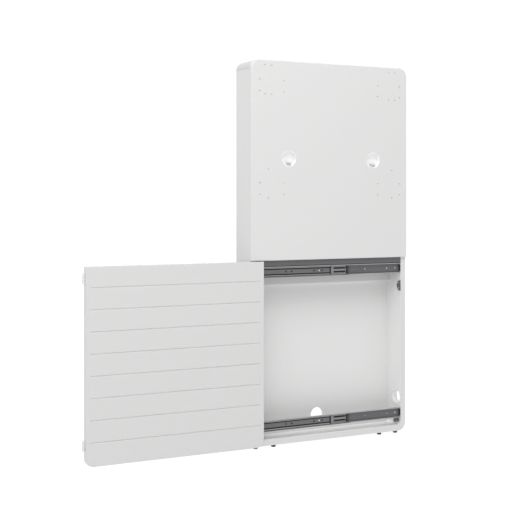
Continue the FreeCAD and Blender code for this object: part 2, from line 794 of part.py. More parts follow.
def sliding_panel():
    """The boarded panel with its rounded bottom corners."""
    board = rounded_board((panel_left, panel_left + panel_width), (panel_front, panel_back),
                          (panel_bottom, panel_top), panel_bottom, panel_corner_radius)
    board = round_front(board, panel_front, panel_rounding)
    for index in range(board_count - 1):
        board = board.cut(groove(panel_top - board_top - index * board_pitch))
    pockets = [tab(z, dowel_clearance) for _, z in SLIDES]
    bores = [rod(screw.x, screw.y, screw.z, screw_radius, bolt_bite, AXIS_Y * -1)
             for screw in panel_screw_points()]
    return board.cut(Part.makeCompound(pockets + bores))


def panel_screw_points():
    """Where the inner members' screws enter the panel."""
    return [FreeCAD.Vector(x, panel_back, z) for _, z in SLIDES for x in panel_screw_xs()]


def panel_screw(point):
    """One pan-head screw through an inner member into the panel."""
    head_y = point.y + slide_sheet + screw_head_height
    head = rod(point.x, head_y, point.z, screw_head_radius, screw_head_height, AXIS_Y * -1)
    length = screw_head_height + slide_sheet + bolt_bite
    shank = rod(point.x, head_y, point.z, screw_radius, length, AXIS_Y * -1)
    return head.fuse(shank)


# ---- The carcass, with its dowel holes ----
def carcass():
    """Every board that dowels join, drilled for them."""
    boards = {
        "upper_top_panel": upper_top_panel(),
        "upper_bottom_panel": upper_bottom_panel(),
        "lower_bottom_panel": lower_bottom_panel(),
    }
    for side, side_x, sign in SIDES:
        boards[f"upper_{side}_side"] = upper_side(side_x, sign)
        boards[f"upper_{side}_corner"] = upper_corner(side_x, sign)
        boards[f"lower_{side}_side"] = lower_side(side_x, sign)
        boards[f"lower_{side}_corner"] = lower_corner(side_x, sign)
    for centre, axis, names in dowel_places():
        for name in names:
            boards[name] = boards[name].cut(dowel(centre, axis, dowel_clearance))
    left_cuts = [slide_notch(z) for _, z in SLIDES] + wall_screw_bores(inner_left, 1)
    right_cuts = [side_hole()] + wall_screw_bores(inner_right, -1)
    boards["lower_left_side"] = boards["lower_left_side"].cut(Part.makeCompound(left_cuts))
    boards["lower_right_side"] = boards["lower_right_side"].cut(Part.makeCompound(right_cuts))
    return boards


for board_name, board_shape in carcass().items():
    save(board_name, board_shape)
save("carcass_dowels", *[dowel(centre, axis, 0.0) for centre, axis, _ in dowel_places()])
save("upper_front_panel", upper_front_panel())
save("upper_back_panel", upper_back_panel())
save("wall_cleat", wall_cleat())
save("bracket_inserts", *bracket_inserts())
for side_name, board_x, inward_sign in SIDES:
    save(f"upper_bracket_block_{side_name}",
         bracket_block(board_x, inward_sign, (wide_pattern, tall_pattern)))
    save(f"lower_bracket_block_{side_name}",
         bracket_block(board_x, inward_sign, (low_wide_pattern, low_line_pattern)))
for (side_name, _, _), (cup_x, cup_z) in zip(SIDES, cup_places()):
    save(f"hanger_cup_{side_name}", hanger_cup(cup_x, cup_z))
    save(f"hanger_hook_{side_name}", hanger_hook(cup_x, cup_z))
save("hook_screws", *[hook_screw(x, z) for cup in cup_places() for x, z in hook_screws(*cup)])

save("lower_back_panel", lower_back_panel())
save("lower_back_rail", lower_back_rail())
save("front_feet", *[foot(x, y) for x, y in foot_places((lower_front + front_foot_setback,))])
save("rear_feet", *[foot(x, y) for x, y in foot_places((back - rear_foot_setback,))])
save("foot_screws", *[foot_screw(x, y) for x, y in foot_places()])
save("steel_top_rail", steel_rail())
save("rail_bolts", *[rail_bolt(x, y) for x, y in rail_bolt_places()])
save("slide_end_bracket_left", end_bracket(inner_left, 1))
save("slide_end_bracket_right", end_bracket(inner_right, -1))
save("half_round_catch", half_round_catch())
save("wall_fixing_screws", *wall_fixing_screws())

for level, slide_z in SLIDES:
    save(f"{level}_slide_outer", outer_member(slide_z))
    save(f"{level}_slide_middle", slid_out(middle_member(slide_z), middle_share))
    save(f"{level}_slide_inner", slid_out(inner_member(slide_z), 1.0))
    for stage, (cage, cage_balls), cage_share in (("outer", outer_cage(slide_z), outer_cage_share),
                                                  ("inner", inner_cage(slide_z), inner_cage_share)):
        save(f"{level}_{stage}_ball_cage", slid_out(cage, cage_share))
        save(f"{level}_{stage}_balls", *[slid_out(ball, cage_share) for ball in cage_balls])
    save(f"{level}_slide_bumper", slide_bumper(slide_z))
save("slide_screws", *slide_screws())
save("sliding_panel", slid_out(sliding_panel(), 1.0))
save("panel_end_tabs", *[slid_out(tab(z, 0.0), 1.0) for _, z in SLIDES])
save("panel_screws", *[slid_out(panel_screw(point), 1.0) for point in panel_screw_points()])
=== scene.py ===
import json
import logging
import math
from collections.abc import Callable, Iterable, Sequence
from dataclasses import dataclass, field, replace
from enum import Enum

import bmesh
import bpy
from mathutils import Matrix, Vector


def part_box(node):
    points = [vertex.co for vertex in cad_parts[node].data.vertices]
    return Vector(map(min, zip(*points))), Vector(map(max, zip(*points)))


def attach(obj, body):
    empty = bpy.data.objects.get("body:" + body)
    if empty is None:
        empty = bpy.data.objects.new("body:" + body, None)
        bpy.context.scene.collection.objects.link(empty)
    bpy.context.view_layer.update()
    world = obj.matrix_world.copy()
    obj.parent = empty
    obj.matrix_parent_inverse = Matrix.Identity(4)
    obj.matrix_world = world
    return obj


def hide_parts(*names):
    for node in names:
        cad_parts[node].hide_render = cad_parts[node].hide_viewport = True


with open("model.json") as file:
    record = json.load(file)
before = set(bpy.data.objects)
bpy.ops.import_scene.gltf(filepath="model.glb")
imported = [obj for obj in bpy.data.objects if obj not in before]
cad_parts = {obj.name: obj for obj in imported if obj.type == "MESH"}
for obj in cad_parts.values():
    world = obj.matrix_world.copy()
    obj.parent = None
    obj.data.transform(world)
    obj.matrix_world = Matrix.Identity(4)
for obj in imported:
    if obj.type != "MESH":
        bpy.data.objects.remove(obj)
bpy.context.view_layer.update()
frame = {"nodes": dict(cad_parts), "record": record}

LOG = logging.getLogger("changing_cabinet")
MM = 1000.0                     # every shape is built in millimetres and handed over in metres

Flat = tuple[float, float]
Colour = tuple[float, float, float]
Outline = Callable[[float], list[Flat]]
Placer = Callable[[float, float, float], Vector]
ORIGIN = Vector((0.0, 0.0, 0.0))
SIDES = ("left", "right")
LEVELS = ("upper", "lower")
class Axis(Enum):
    """The way a screw's head faces."""

    TO_ROOM = (0.0, -1.0, 0.0)
    TO_WALL = (0.0, 1.0, 0.0)
    TO_LEFT = (-1.0, 0.0, 0.0)
    TO_RIGHT = (1.0, 0.0, 0.0)
    DOWN = (0.0, 0.0, -1.0)


# ---- Shader maths ----
class Value:
    """A number in a shader, which can be used in arithmetic."""

    def __init__(self, tree: bpy.types.NodeTree, socket: bpy.types.NodeSocket) -> None:
        """Wrap one output socket of a tree."""
        self.tree = tree
        self.socket = socket

    def _maths(self, operation: str, first: "Value | float", second: "Value | float") -> "Value":
        """Add a Math node.

        Args:
            operation: The node's operation.
            first: Its first input.
            second: Its second input.

        Returns:
            The node's result.
        """
        node = self.tree.nodes.new("ShaderNodeMath")
        node.operation = operation
        for index, value in enumerate((first, second)):
            if isinstance(value, Value):
                self.tree.links.new(value.socket, node.inputs[index])
            else:
                node.inputs[index].default_value = value
        return Value(self.tree, node.outputs[0])

    def __add__(self, other: "Value | float") -> "Value":
        """The sum."""
        return self._maths("ADD", self, other)

    def __radd__(self, other: float) -> "Value":
        """The sum, reflected."""
        return self._maths("ADD", other, self)

    def __sub__(self, other: "Value | float") -> "Value":
        """The difference."""
        return self._maths("SUBTRACT", self, other)

    def __rsub__(self, other: float) -> "Value":
        """The difference, reflected."""
        return self._maths("SUBTRACT", other, self)

    def __mul__(self, other: "Value | float") -> "Value":
        """The product."""
        return self._maths("MULTIPLY", self, other)

    def __rmul__(self, other: float) -> "Value":
        """The product, reflected."""
        return self._maths("MULTIPLY", other, self)

    def __pow__(self, other: "Value | float") -> "Value":
        """The power."""
        return self._maths("POWER", self, other)

    def least(self, other: "Value | float") -> "Value":
        """The smaller of two values."""
        return self._maths("MINIMUM", self, other)

    def most(self, other: "Value | float") -> "Value":
        """The larger of two values."""
        return self._maths("MAXIMUM", self, other)

    def size(self) -> "Value":
        """The value without its sign."""
        return self.most(0.0 - self)

    def held(self) -> "Value":
        """The value kept between 0 and 1."""
        return self.most(0.0).least(1.0)


class NodeTree:
    """A node tree with one way to add any node."""

    def __init__(self, tree: bpy.types.NodeTree) -> None:
        """Wrap a tree."""
        self.tree = tree

    def node(self, kind: str, settings: dict | None = None, inputs: dict | None = None) -> bpy.types.Node:
        """Add any node.

        Args:
            kind: The node's type.
            settings: Properties of the node, set first.
            inputs: Values or links of its sockets, by name or number.

        Returns:
            The node.
        """
        node = self.tree.nodes.new(kind)
        for name, value in (settings or {}).items():
            setattr(node, name, value)
        for name, value in (inputs or {}).items():
            self.put(node.inputs[name], value)
        return node

    def put(self, socket: bpy.types.NodeSocket, value: object) -> None:
        """Link a socket or set its own value."""
        source = value.socket if isinstance(value, Value) else value
        if isinstance(source, bpy.types.NodeSocket):
            self.tree.links.new(source, socket)
        else:
            socket.default_value = source


class Shader(NodeTree):
    """One material's node tree round a Principled shader."""

    def __init__(self, name: str) -> None:
        """Make an empty material with its shader, output and object coordinates.

        Args:
            name: The material's name.
        """
        self.material = bpy.data.materials.new(name)
        self.material.use_nodes = True
        super().__init__(self.material.node_tree)
        self.tree.nodes.clear()
        self.surface = self.node("ShaderNodeBsdfPrincipled")
        self.node("ShaderNodeOutputMaterial", None, {"Surface": self.surface.outputs["BSDF"]})
        self.position = self.node("ShaderNodeTexCoord").outputs["Object"]

    def axes(self) -> list[Value]:
        """The object coordinates X, Y and Z, in metres."""
        parts = self.node("ShaderNodeSeparateXYZ", None, {"Vector": self.position})
        return [Value(self.tree, socket) for socket in parts.outputs]

    def stretched(self, scale: Sequence[float]) -> bpy.types.NodeSocket:
        """Object coordinates with a scale for each axis."""
        return self.node("ShaderNodeMapping", {"vector_type": "POINT"},
                         {"Vector": self.position, "Scale": tuple(scale)}).outputs["Vector"]

    def noise(self, scale: float | Sequence[float], detail: float = 3.0, roughness: float = 0.5) -> Value:
        """Smooth noise from 0 to 1.

        Args:
            scale: Cells per metre, for all axes or for each.
            detail: Octaves.
            roughness: How strong the finer octaves are.

        Returns:
            The noise.
        """
        vector = self.stretched((scale,) * 3 if isinstance(scale, float) else scale)
        node = self.node("ShaderNodeTexNoise", {"noise_dimensions": "3D"},
                         {"Vector": vector, "Scale": 1.0, "Detail": detail, "Roughness": roughness})
        return Value(self.tree, node.outputs["Fac"])

    def cells(self, scale: float) -> Value:
        """Distance to the nearest cell centre, from 0 to about 1."""
        node = self.node("ShaderNodeTexVoronoi", {"feature": "F1"}, {"Vector": self.position, "Scale": scale})
        return Value(self.tree, node.outputs["Distance"])

    def mixed(self, first: object, second: object, factor: Value) -> bpy.types.NodeSocket:
        """A colour between two colours.

        Args:
            first: The colour at 0.
            second: The colour at 1.
            factor: Where it is between them.

        Returns:
            The colour.
        """
        first, second = ((*value, 1.0) if isinstance(value, tuple) else value for value in (first, second))
        node = self.node("ShaderNodeMix", {"data_type": "RGBA", "clamp_factor": True},
                         {0: factor, 6: first, 7: second})
        return node.outputs[2]

    def shades(self, colour: Colour, darkest: float, lightest: float, factor: Value) -> bpy.types.NodeSocket:
        """A colour that varies between two shades of itself."""
        return self.mixed(tinted(colour, darkest), tinted(colour, lightest), factor)

    def ramp(self, value: Value, low: float, high: float) -> Value:
        """A smooth step from 0 at low to 1 at high."""
        node = self.node("ShaderNodeMapRange", {"interpolation_type": "SMOOTHSTEP"},
                         {"Value": value, "From Min": low, "From Max": high})
        return Value(self.tree, node.outputs["Result"])

    def edge_distance(self, low: Vector, high: Vector) -> Value:
        """How far a point on a box's surface is from the box's nearest edge.

        Args:
            low: The box's lowest corner.
            high: Its highest corner.

        Returns:
            The distance, in metres.
        """
        near = [(place - least).least(most - place).most(0.0)
                for place, least, most in zip(self.axes(), low, high)]
        smallest = near[0].least(near[1]).least(near[2])
        largest = near[0].most(near[1]).most(near[2])
        return near[0] + near[1] + near[2] - smallest - largest

    def constants(self, **values: object) -> None:
        """Set numbers and colours that are the same all over, on the shader's own sockets."""
        for name, value in values.items():
            self.surface.inputs[name.replace("_", " ")].default_value = value

    def dressed(self, colour: bpy.types.NodeSocket, roughness: Value, relief: Value, depth: float,
                strength: float = 1.0, **values: object) -> bpy.types.Material:
        """Give the surface its colour, roughness and relief.

        Args:
            colour: The base colour.
            roughness: The roughness.
            relief: The height of the relief, from 0 to 1.
            depth: How deep the relief is, in metres.
            strength: How strongly it shows.
            values: What is the same all over, by the names of the shader's sockets.

        Returns:
            The material.
        """
        bump = self.node("ShaderNodeBump", None, {"Height": relief, "Distance": depth, "Strength": strength})
        self.put(self.surface.inputs["Base Color"], colour)
        self.put(self.surface.inputs["Roughness"], roughness.held())
        self.put(self.surface.inputs["Normal"], bump.outputs["Normal"])
        self.constants(**values)
        return self.material


# ---- Finishes ----
def tinted(colour: Colour, factor: float) -> Colour:
    """A colour made lighter or darker."""
    return tuple(min(1.0, channel * factor) for channel in colour)


@dataclass(frozen=True)
class Lacquer:
    """Sprayed satin lacquer on board: orange peel, handling marks and worn edges.

    The strip along the front, and the outer skin of a round-cornered box, may be tinted by a factor; where a
    box's inside has a lighter colour as painted light, the factor brings the strip and the skin back to the
    board's own tone.
    """

    colour: Colour = (0.64, 0.64, 0.637)
    roughness: float = 0.42
    peel_depth: float = 0.00006
    edge_width: float = 0.004
    outside_factor: float = 1.0
    shell: tuple[float, float, float, float] | None = None      # left, right, bottom and top of the box
    shell_radius: float = 0.038
    skin: float = 0.0008

    def material(self, name: str, low: Vector, high: Vector) -> bpy.types.Material:
        """Build the finish for one board.

        Args:
            name: The material's name.
            low: The board's lowest corner.
            high: Its highest corner.

        Returns:
            The material.
        """
        shader = Shader(name)
        cloud = shader.noise(2.2, 2.0)
        mottle = shader.noise(38.0, 4.0, 0.6)
        smear = shader.ramp(shader.noise((9.0, 9.0, 3.0), 5.0, 0.65), 0.56, 0.78)
        base = shader.shades(self.colour, 0.985, 1.012, cloud * 0.7 + mottle * 0.3)
        handled = shader.mixed(base, tinted(self.colour, 0.972), smear * 0.5)
        # Where the factor is below 1 this is painted light: the box's inside keeps the lighter colour, and
        # the front strip and outer skin are brought back to the board's own tone.
        strip = 1.0 - shader.ramp(shader.axes()[1], low.y + 0.0006, low.y + 0.001)
        if self.shell:
            strip = strip.most(self.outside(shader))
        edged = shader.mixed(handled, tinted(self.colour, self.outside_factor), strip)
        reach = shader.edge_distance(low, high) + shader.noise(160.0) * (self.edge_width * 0.8)
        worn = 1.0 - shader.ramp(reach, self.edge_width * 0.35, self.edge_width)
        peel = shader.noise(620.0, 2.0, 0.4) + shader.noise(140.0, 2.0) * 0.6
        return shader.dressed(shader.mixed(edged, tinted(self.colour, 0.93), worn * 0.55),
                              self.roughness + mottle * 0.06 - smear * 0.07 - worn * 0.08, peel,
                              self.peel_depth, IOR=1.48, Coat_Roughness=0.25)

    def outside(self, shader: Shader) -> Value:
        """Where the box's outer skin is: 1 on it and 0 inside it.

        Args:
            shader: The material's tree.

        Returns:
            The mask.
        """
        left, right, bottom, top = self.shell
        across, _, up = shader.axes()
        wide = (across - (left + right) / 2).size() - ((right - left) / 2 - self.shell_radius)
        high = (up - (bottom + top) / 2).size() - ((top - bottom) / 2 - self.shell_radius)
        reach = (wide.most(0.0) ** 2.0 + high.most(0.0) ** 2.0) ** 0.5
        return shader.ramp(reach + wide.most(high).least(0.0) - self.shell_radius, -2 * self.skin, -self.skin)


@dataclass(frozen=True)
class BackBoard:
    """A thin board faced with a matt white foil that has a fine linen print."""

    colour: Colour = (0.70, 0.70, 0.697)
    thread: float = 1100.0

    def material(self, name: str) -> bpy.types.Material:
        """Build the finish.

        Args:
            name: The material's name.

        Returns:
            The material.
        """
        shader = Shader(name)
        warp = shader.noise((self.thread, 60.0, 60.0), 2.0)
        weft = shader.noise((60.0, 60.0, self.thread), 2.0)
        linen = (warp + weft) * 0.5
        base = shader.shades(self.colour, 0.985, 1.01, shader.noise(1.8, 2.0) * 0.7 + linen * 0.3)
        dust = shader.ramp(shader.noise(14.0, 5.0, 0.7), 0.55, 0.8)
        return shader.dressed(shader.mixed(base, tinted(self.colour, 0.96), dust * 0.45),
                              0.56 + linen * 0.1, linen, 0.00004, IOR=1.45)


@dataclass(frozen=True)
class RolledSteel:
    """Cold-rolled steel under a thin dark coat: rolling lines, lips painted bright as a painted highlight,
    and greasy black with painted shade.

    Heights are measured from the member's middle; the groove's stripe is greasy black with painted shade, and
    the lower lip is black as a painted shadow, as far as the black part's end.
    """

    middle: float = 0.0
    half: float = 0.023
    lip: float = 0.0032
    colour: Colour = (0.105, 0.105, 0.11)
    light: Colour = (0.19, 0.19, 0.20)
    lip_highlight: Colour = (0.42, 0.42, 0.43)
    black: Colour = (0.012, 0.012, 0.012)
    groove: tuple[float, float] = (0.0, 0.0)
    grease_and_shade_end: float = 0.0
    grease_and_shade_fade: float = 0.02
    low_lip_shadow: float = 0.0
    metallic: float = 0.25
    roughness: float = 0.38

    def material(self, name: str) -> bpy.types.Material:
        """Build the finish.

        Args:
            name: The material's name.

        Returns:
            The material.
        """
        shader = Shader(name)
        along, _, up = shader.axes()
        off = (up - self.middle).size()
        lines = shader.noise((3.0, 1400.0, 1400.0), 3.0, 0.6)
        blotch = shader.noise(26.0, 4.0, 0.6)
        smear = shader.ramp(shader.noise((11.0, 60.0, 60.0), 4.0, 0.6), 0.52, 0.75)
        base = shader.mixed(self.colour, self.light, lines * 0.45 + blotch * 0.2)
        smeared = shader.mixed(base, tinted(self.colour, 0.7), smear * 0.4)
        edge = self.half - self.lip
        # Painted highlight: the lips are painted bright where they catch the light.
        lips = shader.ramp(off + lines * 0.0003, edge, edge + 0.0005)
        edged = shader.mixed(smeared, self.lip_highlight, lips * (0.75 + blotch * 0.25))
        # Painted shade: the groove's stripe is greasy black with painted shade, and the lower lip black as a
        # painted shadow, up to the black part's end.
        low, high = self.groove
        stripe = shader.ramp(off, low, low + 0.0006) * (1.0 - shader.ramp(off, high - 0.0006, high))
        reach = 1.0 - shader.ramp(along + blotch * 0.004, self.grease_and_shade_end, self.grease_and_shade_end + self.grease_and_shade_fade)
        below = shader.ramp(self.middle - up - 0.0004, edge, edge + 0.0005)
        grease_and_shade = ((stripe + below * self.low_lip_shadow) * reach).held()
        return shader.dressed(shader.mixed(edged, self.black, grease_and_shade),
                              self.roughness + lines * 0.14 + blotch * 0.06 - smear * 0.1 + grease_and_shade * 0.2,
                              lines + blotch * 0.3, 0.00003, Metallic=self.metallic, Anisotropic=0.35)


@dataclass(frozen=True)
class PressedCage:
    """Thin pressed steel: greasy black with painted shade under the middle member, bare and light at its free
    end, with a painted highlight at one spot.
    """

    grease_and_shade_end: float = 0.0
    glint: tuple[float, float] = (0.0, 0.0)
    glint_radius: float = 0.0032
    colour: Colour = (0.19, 0.19, 0.20)
    light: Colour = (0.30, 0.30, 0.31)
    black: Colour = (0.010, 0.010, 0.010)
    bright: Colour = (0.85, 0.85, 0.85)

    def material(self, name: str) -> bpy.types.Material:
        """Build the finish.

        Args:
            name: The material's name.

        Returns:
            The material.
        """
        shader = Shader(name)
        along, _, up = shader.axes()
        lines = shader.noise((30.0, 900.0, 900.0), 3.0, 0.6)
        cloud = shader.noise(90.0, 4.0, 0.6)
        bare = shader.mixed(self.colour, self.light, lines * 0.6 + cloud * 0.3)
        # Greasy black with painted shade where the middle member covers the cage, bare beyond it.
        free = shader.ramp(along + cloud * 0.002, self.grease_and_shade_end, self.grease_and_shade_end + 0.001)
        # Painted highlight: a bright glint on the cage behind one of the middle member's access holes.
        away = (along - self.glint[0]).size().most((up - self.glint[1]).size())
        spot = 1.0 - shader.ramp(away, self.glint_radius * 0.8, self.glint_radius)
        return shader.dressed(shader.mixed(shader.mixed(self.black, bare, free), self.bright, spot),
                              0.55 - free * 0.15 + cloud * 0.1, lines, 0.00002, Metallic=0.2)


@dataclass(frozen=True)
class PowderCoat:
    """Baked powder on sheet steel: a fine pebbled skin."""

    colour: Colour = (0.115, 0.115, 0.12)
    roughness: float = 0.46
    pebble: float = 1500.0

    def material(self, name: str) -> bpy.types.Material:
        """Build the finish.

        Args:
            name: The material's name.

        Returns:
            The material.
        """
        shader = Shader(name)
        pebbles = shader.cells(self.pebble)
        cloud = shader.noise(12.0)
        speck = shader.ramp(shader.noise(900.0, 2.0), 0.66, 0.74)
        base = shader.shades(self.colour, 0.88, 1.2, cloud * 0.6 + pebbles * 0.4)
        return shader.dressed(shader.mixed(base, tinted(self.colour, 2.1), speck * 0.4),
                              self.roughness + cloud * 0.08 + pebbles * 0.05, pebbles, 0.00012, 0.7,
                              Metallic=0.25)


@dataclass(frozen=True)
class PlatedSteel:
    """Zinc-plated or brushed steel: fine turning lines and a faint bloom."""

    colour: Colour = (0.56, 0.56, 0.57)
    bloom: Colour = (0.42, 0.42, 0.40)
    roughness: float = 0.26
    grain: float = 900.0
    metallic: float = 1.0

    def material(self, name: str) -> bpy.types.Material:
        """Build the finish.

        Args:
            name: The material's name.

        Returns:
            The material.
        """
        shader = Shader(name)
        lines = shader.noise(self.grain, 2.0, 0.6)
        cloud = shader.ramp(shader.noise(130.0, 4.0, 0.65), 0.4, 0.7)
        base = shader.shades(self.colour, 1.0, 1.25, lines)
        return shader.dressed(shader.mixed(base, self.bloom, cloud * 0.5),
                              self.roughness + cloud * 0.16 + lines * 0.08, lines, 0.00003,
                              Metallic=self.metallic)


@dataclass(frozen=True)
class MouldedPlastic:
    """Moulded plastic with a spark-eroded skin and faint flow marks."""

    colour: Colour = (0.84, 0.84, 0.84)
    roughness: float = 0.4
    skin: float = 1300.0

    def material(self, name: str) -> bpy.types.Material:
        """Build the finish.

        Args:
            name: The material's name.

        Returns:
            The material.
        """
        shader = Shader(name)
        skin = shader.noise(self.skin, 3.0, 0.6)
        flow = shader.noise((20.0, 20.0, 70.0))
        return shader.dressed(shader.shades(self.colour, 0.96, 1.03, flow * 0.7 + skin * 0.3),
                              self.roughness + skin * 0.12 + flow * 0.04, skin, 0.00005, IOR=1.5)


@dataclass(frozen=True)
class MouldedRubber:
    """Black rubber: matt, finely pitted, with dust in the pits."""

    colour: Colour = (0.028, 0.028, 0.029)
    dust: Colour = (0.11, 0.108, 0.104)

    def material(self, name: str) -> bpy.types.Material:
        """Build the finish.

        Args:
            name: The material's name.

        Returns:
            The material.
        """
        shader = Shader(name)
        pits = shader.noise(1100.0, 3.0, 0.6)
        cloud = shader.ramp(shader.noise(75.0, 4.0, 0.65), 0.5, 0.75)
        return shader.dressed(shader.mixed(self.colour, self.dust, cloud * 0.4),
                              0.66 + pits * 0.14 + cloud * 0.1, pits, 0.0001, IOR=1.52)


@dataclass(frozen=True)
class BareWood:
    """Sawn beech and plywood: grain along X, pores and a few darker rays."""

    pale: Colour = (0.66, 0.49, 0.32)
    dark: Colour = (0.45, 0.30, 0.17)

    def material(self, name: str) -> bpy.types.Material:
        """Build the finish.

        Args:
            name: The material's name.

        Returns:
            The material.
        """
        shader = Shader(name)
        rings = shader.node("ShaderNodeTexWave", {"wave_type": "BANDS", "bands_direction": "Z"},
                            {"Vector": shader.stretched((5.0, 60.0, 90.0)), "Scale": 1.0, "Distortion": 6.0,
                             "Detail": 3.0, "Detail Scale": 1.4})
        grain = Value(shader.tree, rings.outputs["Fac"]) * 0.55 + shader.noise((4.0, 22.0, 22.0), 2.0) * 0.45
        pores = shader.ramp(shader.noise((45.0, 1200.0, 1200.0), 2.0), 0.6, 0.72)
        base = shader.mixed(self.pale, self.dark, grain * 0.6)
        return shader.dressed(shader.mixed(base, tinted(self.dark, 0.6), pores * 0.6), 0.62 + grain * 0.12,
                              grain - pores * 0.5, 0.00008)


# ---- Outlines ----
def arc(centre: Flat, radius: float, start: float, end: float, steps: int = 12) -> list[Flat]:
    """Points along an arc, both ends included.

    Args:
        centre: The arc's centre.
        radius: Its radius.
        start: Start angle in degrees.
        end: End angle in degrees.
        steps: Number of chords.

    Returns:
        The points.
    """
    turns = [math.radians(start + (end - start) * index / steps) for index in range(steps + 1)]
    return [(centre[0] + radius * math.cos(turn), centre[1] + radius * math.sin(turn)) for turn in turns]


def inset(outline: Sequence[Flat], distance: float) -> list[Flat]:
    """Move an outline's sides inwards by a distance, with mitred corners.

    Args:
        outline: A closed outline, either way round.
        distance: How far each side moves in.

    Returns:
        The moved outline, with as many points.
    """
    pairs = zip(outline, [*outline[1:], outline[0]])
    turn = math.copysign(1.0, sum(a[0] * b[1] - b[0] * a[1] for a, b in pairs))
    moved = []
    for index, point in enumerate(outline):
        here = Vector(point)
        ways = [(here - Vector(outline[index - 1])).normalized(),
                (Vector(outline[(index + 1) % len(outline)]) - here).normalized()]
        normals = [Vector((-way.y, way.x)) * turn for way in ways]
        middle = (normals[0] + normals[1]).normalized()
        moved.append(tuple(here + middle * (distance / max(0.25, middle.dot(normals[0])))))
    return moved


def shaped(points: Sequence[Flat]) -> Outline:
    """An outline with fixed points, which a rim moves inwards."""
    return lambda edge: inset(points, edge)


def rectangle(low: Flat, high: Flat, radii: Sequence[float], steps: int = 12) -> Outline:
    """A rectangle with its own radius at each corner.

    Args:
        low: The lower left corner.
        high: The upper right corner.
        radii: Radii at lower left, lower right, upper right and upper left.
        steps: Chords in each corner.

    Returns:
        The outline, which keeps its corners' centres as a rim moves it inwards.
    """
    least = 0.05

    def at(edge: float) -> list[Flat]:
        """The outline, moved inwards by an edge.

        Args:
            edge: How far it moves in.

        Returns:
            The points.
        """
        left, bottom, right, top = low[0] + edge, low[1] + edge, high[0] - edge, high[1] - edge
        corners = ((left, bottom, 1, 1, 180), (right, bottom, -1, 1, 270),
                   (right, top, -1, -1, 0), (left, top, 1, -1, 90))
        points: list[Flat] = []
        for (x, y, x_in, y_in, start), radius in zip(corners, radii):
            small = max(least, radius - edge)
            points += arc((x + x_in * small, y + y_in * small), small, start, start + 90, steps)
        return points

    return at


def filleted(corners: Sequence[tuple[float, float, float]], steps: int = 5) -> Outline:
    """An outline through corners that each have their own radius.

    Args:
        corners: Place and radius of each corner.
        steps: Chords in each rounded corner.

    Returns:
        The outline.
    """
    points: list[Flat] = []
    for index, (u, v, radius) in enumerate(corners):
        here = Vector((u, v))
        before = (Vector(corners[index - 1][:2]) - here).normalized()
        after = (Vector(corners[(index + 1) % len(corners)][:2]) - here).normalized()
        half = before.angle(after) / 2
        centre = here + (before + after).normalized() * (radius / math.sin(half))
        start = here + before * (radius / math.tan(half)) - centre
        end = here + after * (radius / math.tan(half)) - centre
        turn = math.atan2(start.x * end.y - start.y * end.x, start.dot(end))
        for step in range(steps + 1):
            points.append(tuple(centre + Matrix.Rotation(turn * step / steps, 2) @ start))
    return shaped(points)


def capsule(left: float, right: float, height: float, half: float, steps: int = 8) -> list[Flat]:
    """A long slot's outline with round ends.

    Args:
        left: Centre of its left end.
        right: Centre of its right end.
        height: Height of its centre line.
        half: Half its width.
        steps: Chords in each end.

    Returns:
        The outline, anticlockwise.
    """
    return [*arc((left, height), half, 90, 270, steps), *arc((right, height), half, -90, 90, steps)]


# ---- Solids ----
def linked(name: str, mesh: bpy.types.Mesh) -> bpy.types.Object:
    """An object at the origin that holds a mesh.

    Args:
        name: The object's name.
        mesh: The mesh, or a lamp or camera.

    Returns:
        The object.
    """
    made = bpy.data.objects.new(name, mesh)
    bpy.context.scene.collection.objects.link(made)
    return made


def from_bmesh(name: str, shape: bmesh.types.BMesh) -> bpy.types.Object:
    """Turn a bmesh into an object with its faces outwards.

    Args:
        name: The object's name.
        shape: The bmesh, which is used up.

    Returns:
        The object.
    """
    bmesh.ops.recalc_face_normals(shape, faces=shape.faces)
    mesh = bpy.data.meshes.new(name)
    shape.to_mesh(mesh)
    shape.free()
    return linked(name, mesh)


def loft(name: str, loops: Sequence[Sequence[Vector]]) -> bpy.types.Object:
    """A closed skin through loops of as many points each, with a cap at each end.

    Args:
        name: The object's name.
        loops: The loops, from one end to the other.

    Returns:
        The solid.
    """
    shape = bmesh.new()
    rings = [[shape.verts.new(point) for point in loop] for loop in loops]
    count = len(rings[0])
    for ring, after in zip(rings, rings[1:]):
        for index in range(count):
            other = (index + 1) % count
            shape.faces.new((ring[index], ring[other], after[other], after[index]))
    shape.faces.new(list(reversed(rings[0])))
    shape.faces.new(rings[-1])
    return from_bmesh(name, shape)


def along_y(u: float, v: float, w: float) -> Vector:
    """Place an XZ outline, swept along Y."""
    return Vector((u, w, v))


def along_x(u: float, v: float, w: float) -> Vector:
    """Place a YZ outline, swept along X."""
    return Vector((w, u, v))


def along_z(u: float, v: float, w: float) -> Vector:
    """Place an XY outline, swept along Z."""
    return Vector((u, v, w))


def slab(name: str, outline: Outline, span: Flat, rounds: Flat = (0.4, 0.4), place: Placer = along_y,
         steps: int = 4) -> bpy.types.Object:
    """A plate with rounded rims.

    Args:
        name: The object's name.
        outline: The plate's outline.
        span: Where its two faces are along the sweep.
        rounds: The rim's radius at the low face and at the high face.
        place: How the outline lies in space.
        steps: Chords in each rim.

    Returns:
        The plate.
    """
    turns = [math.pi / 2 * index / steps for index in range(steps + 1)]
    levels = [(rounds[0] * (1 - math.sin(turn)), span[0] + rounds[0] * (1 - math.cos(turn)))
              for turn in turns]
    levels += [(rounds[1] * (1 - math.sin(turn)), span[1] - rounds[1] * (1 - math.cos(turn)))
               for turn in reversed(turns)]
    return loft(name, [[place(u, v, depth) for u, v in outline(edge)] for edge, depth in levels])


def board(name: str, low: Vector, high: Vector, edge: float = 0.4) -> bpy.types.Object:
    """A plain board that fills a box, with eased edges.

    Args:
        name: The object's name.
        low: The box's lowest corner.
        high: Its highest corner.
        edge: The edges' rounding.

    Returns:
        The board.
    """
    outline = rectangle((low.x, low.z), (high.x, high.z), (edge,) * 4, 3)
    return slab(name, outline, (low.y, high.y), (edge, edge))


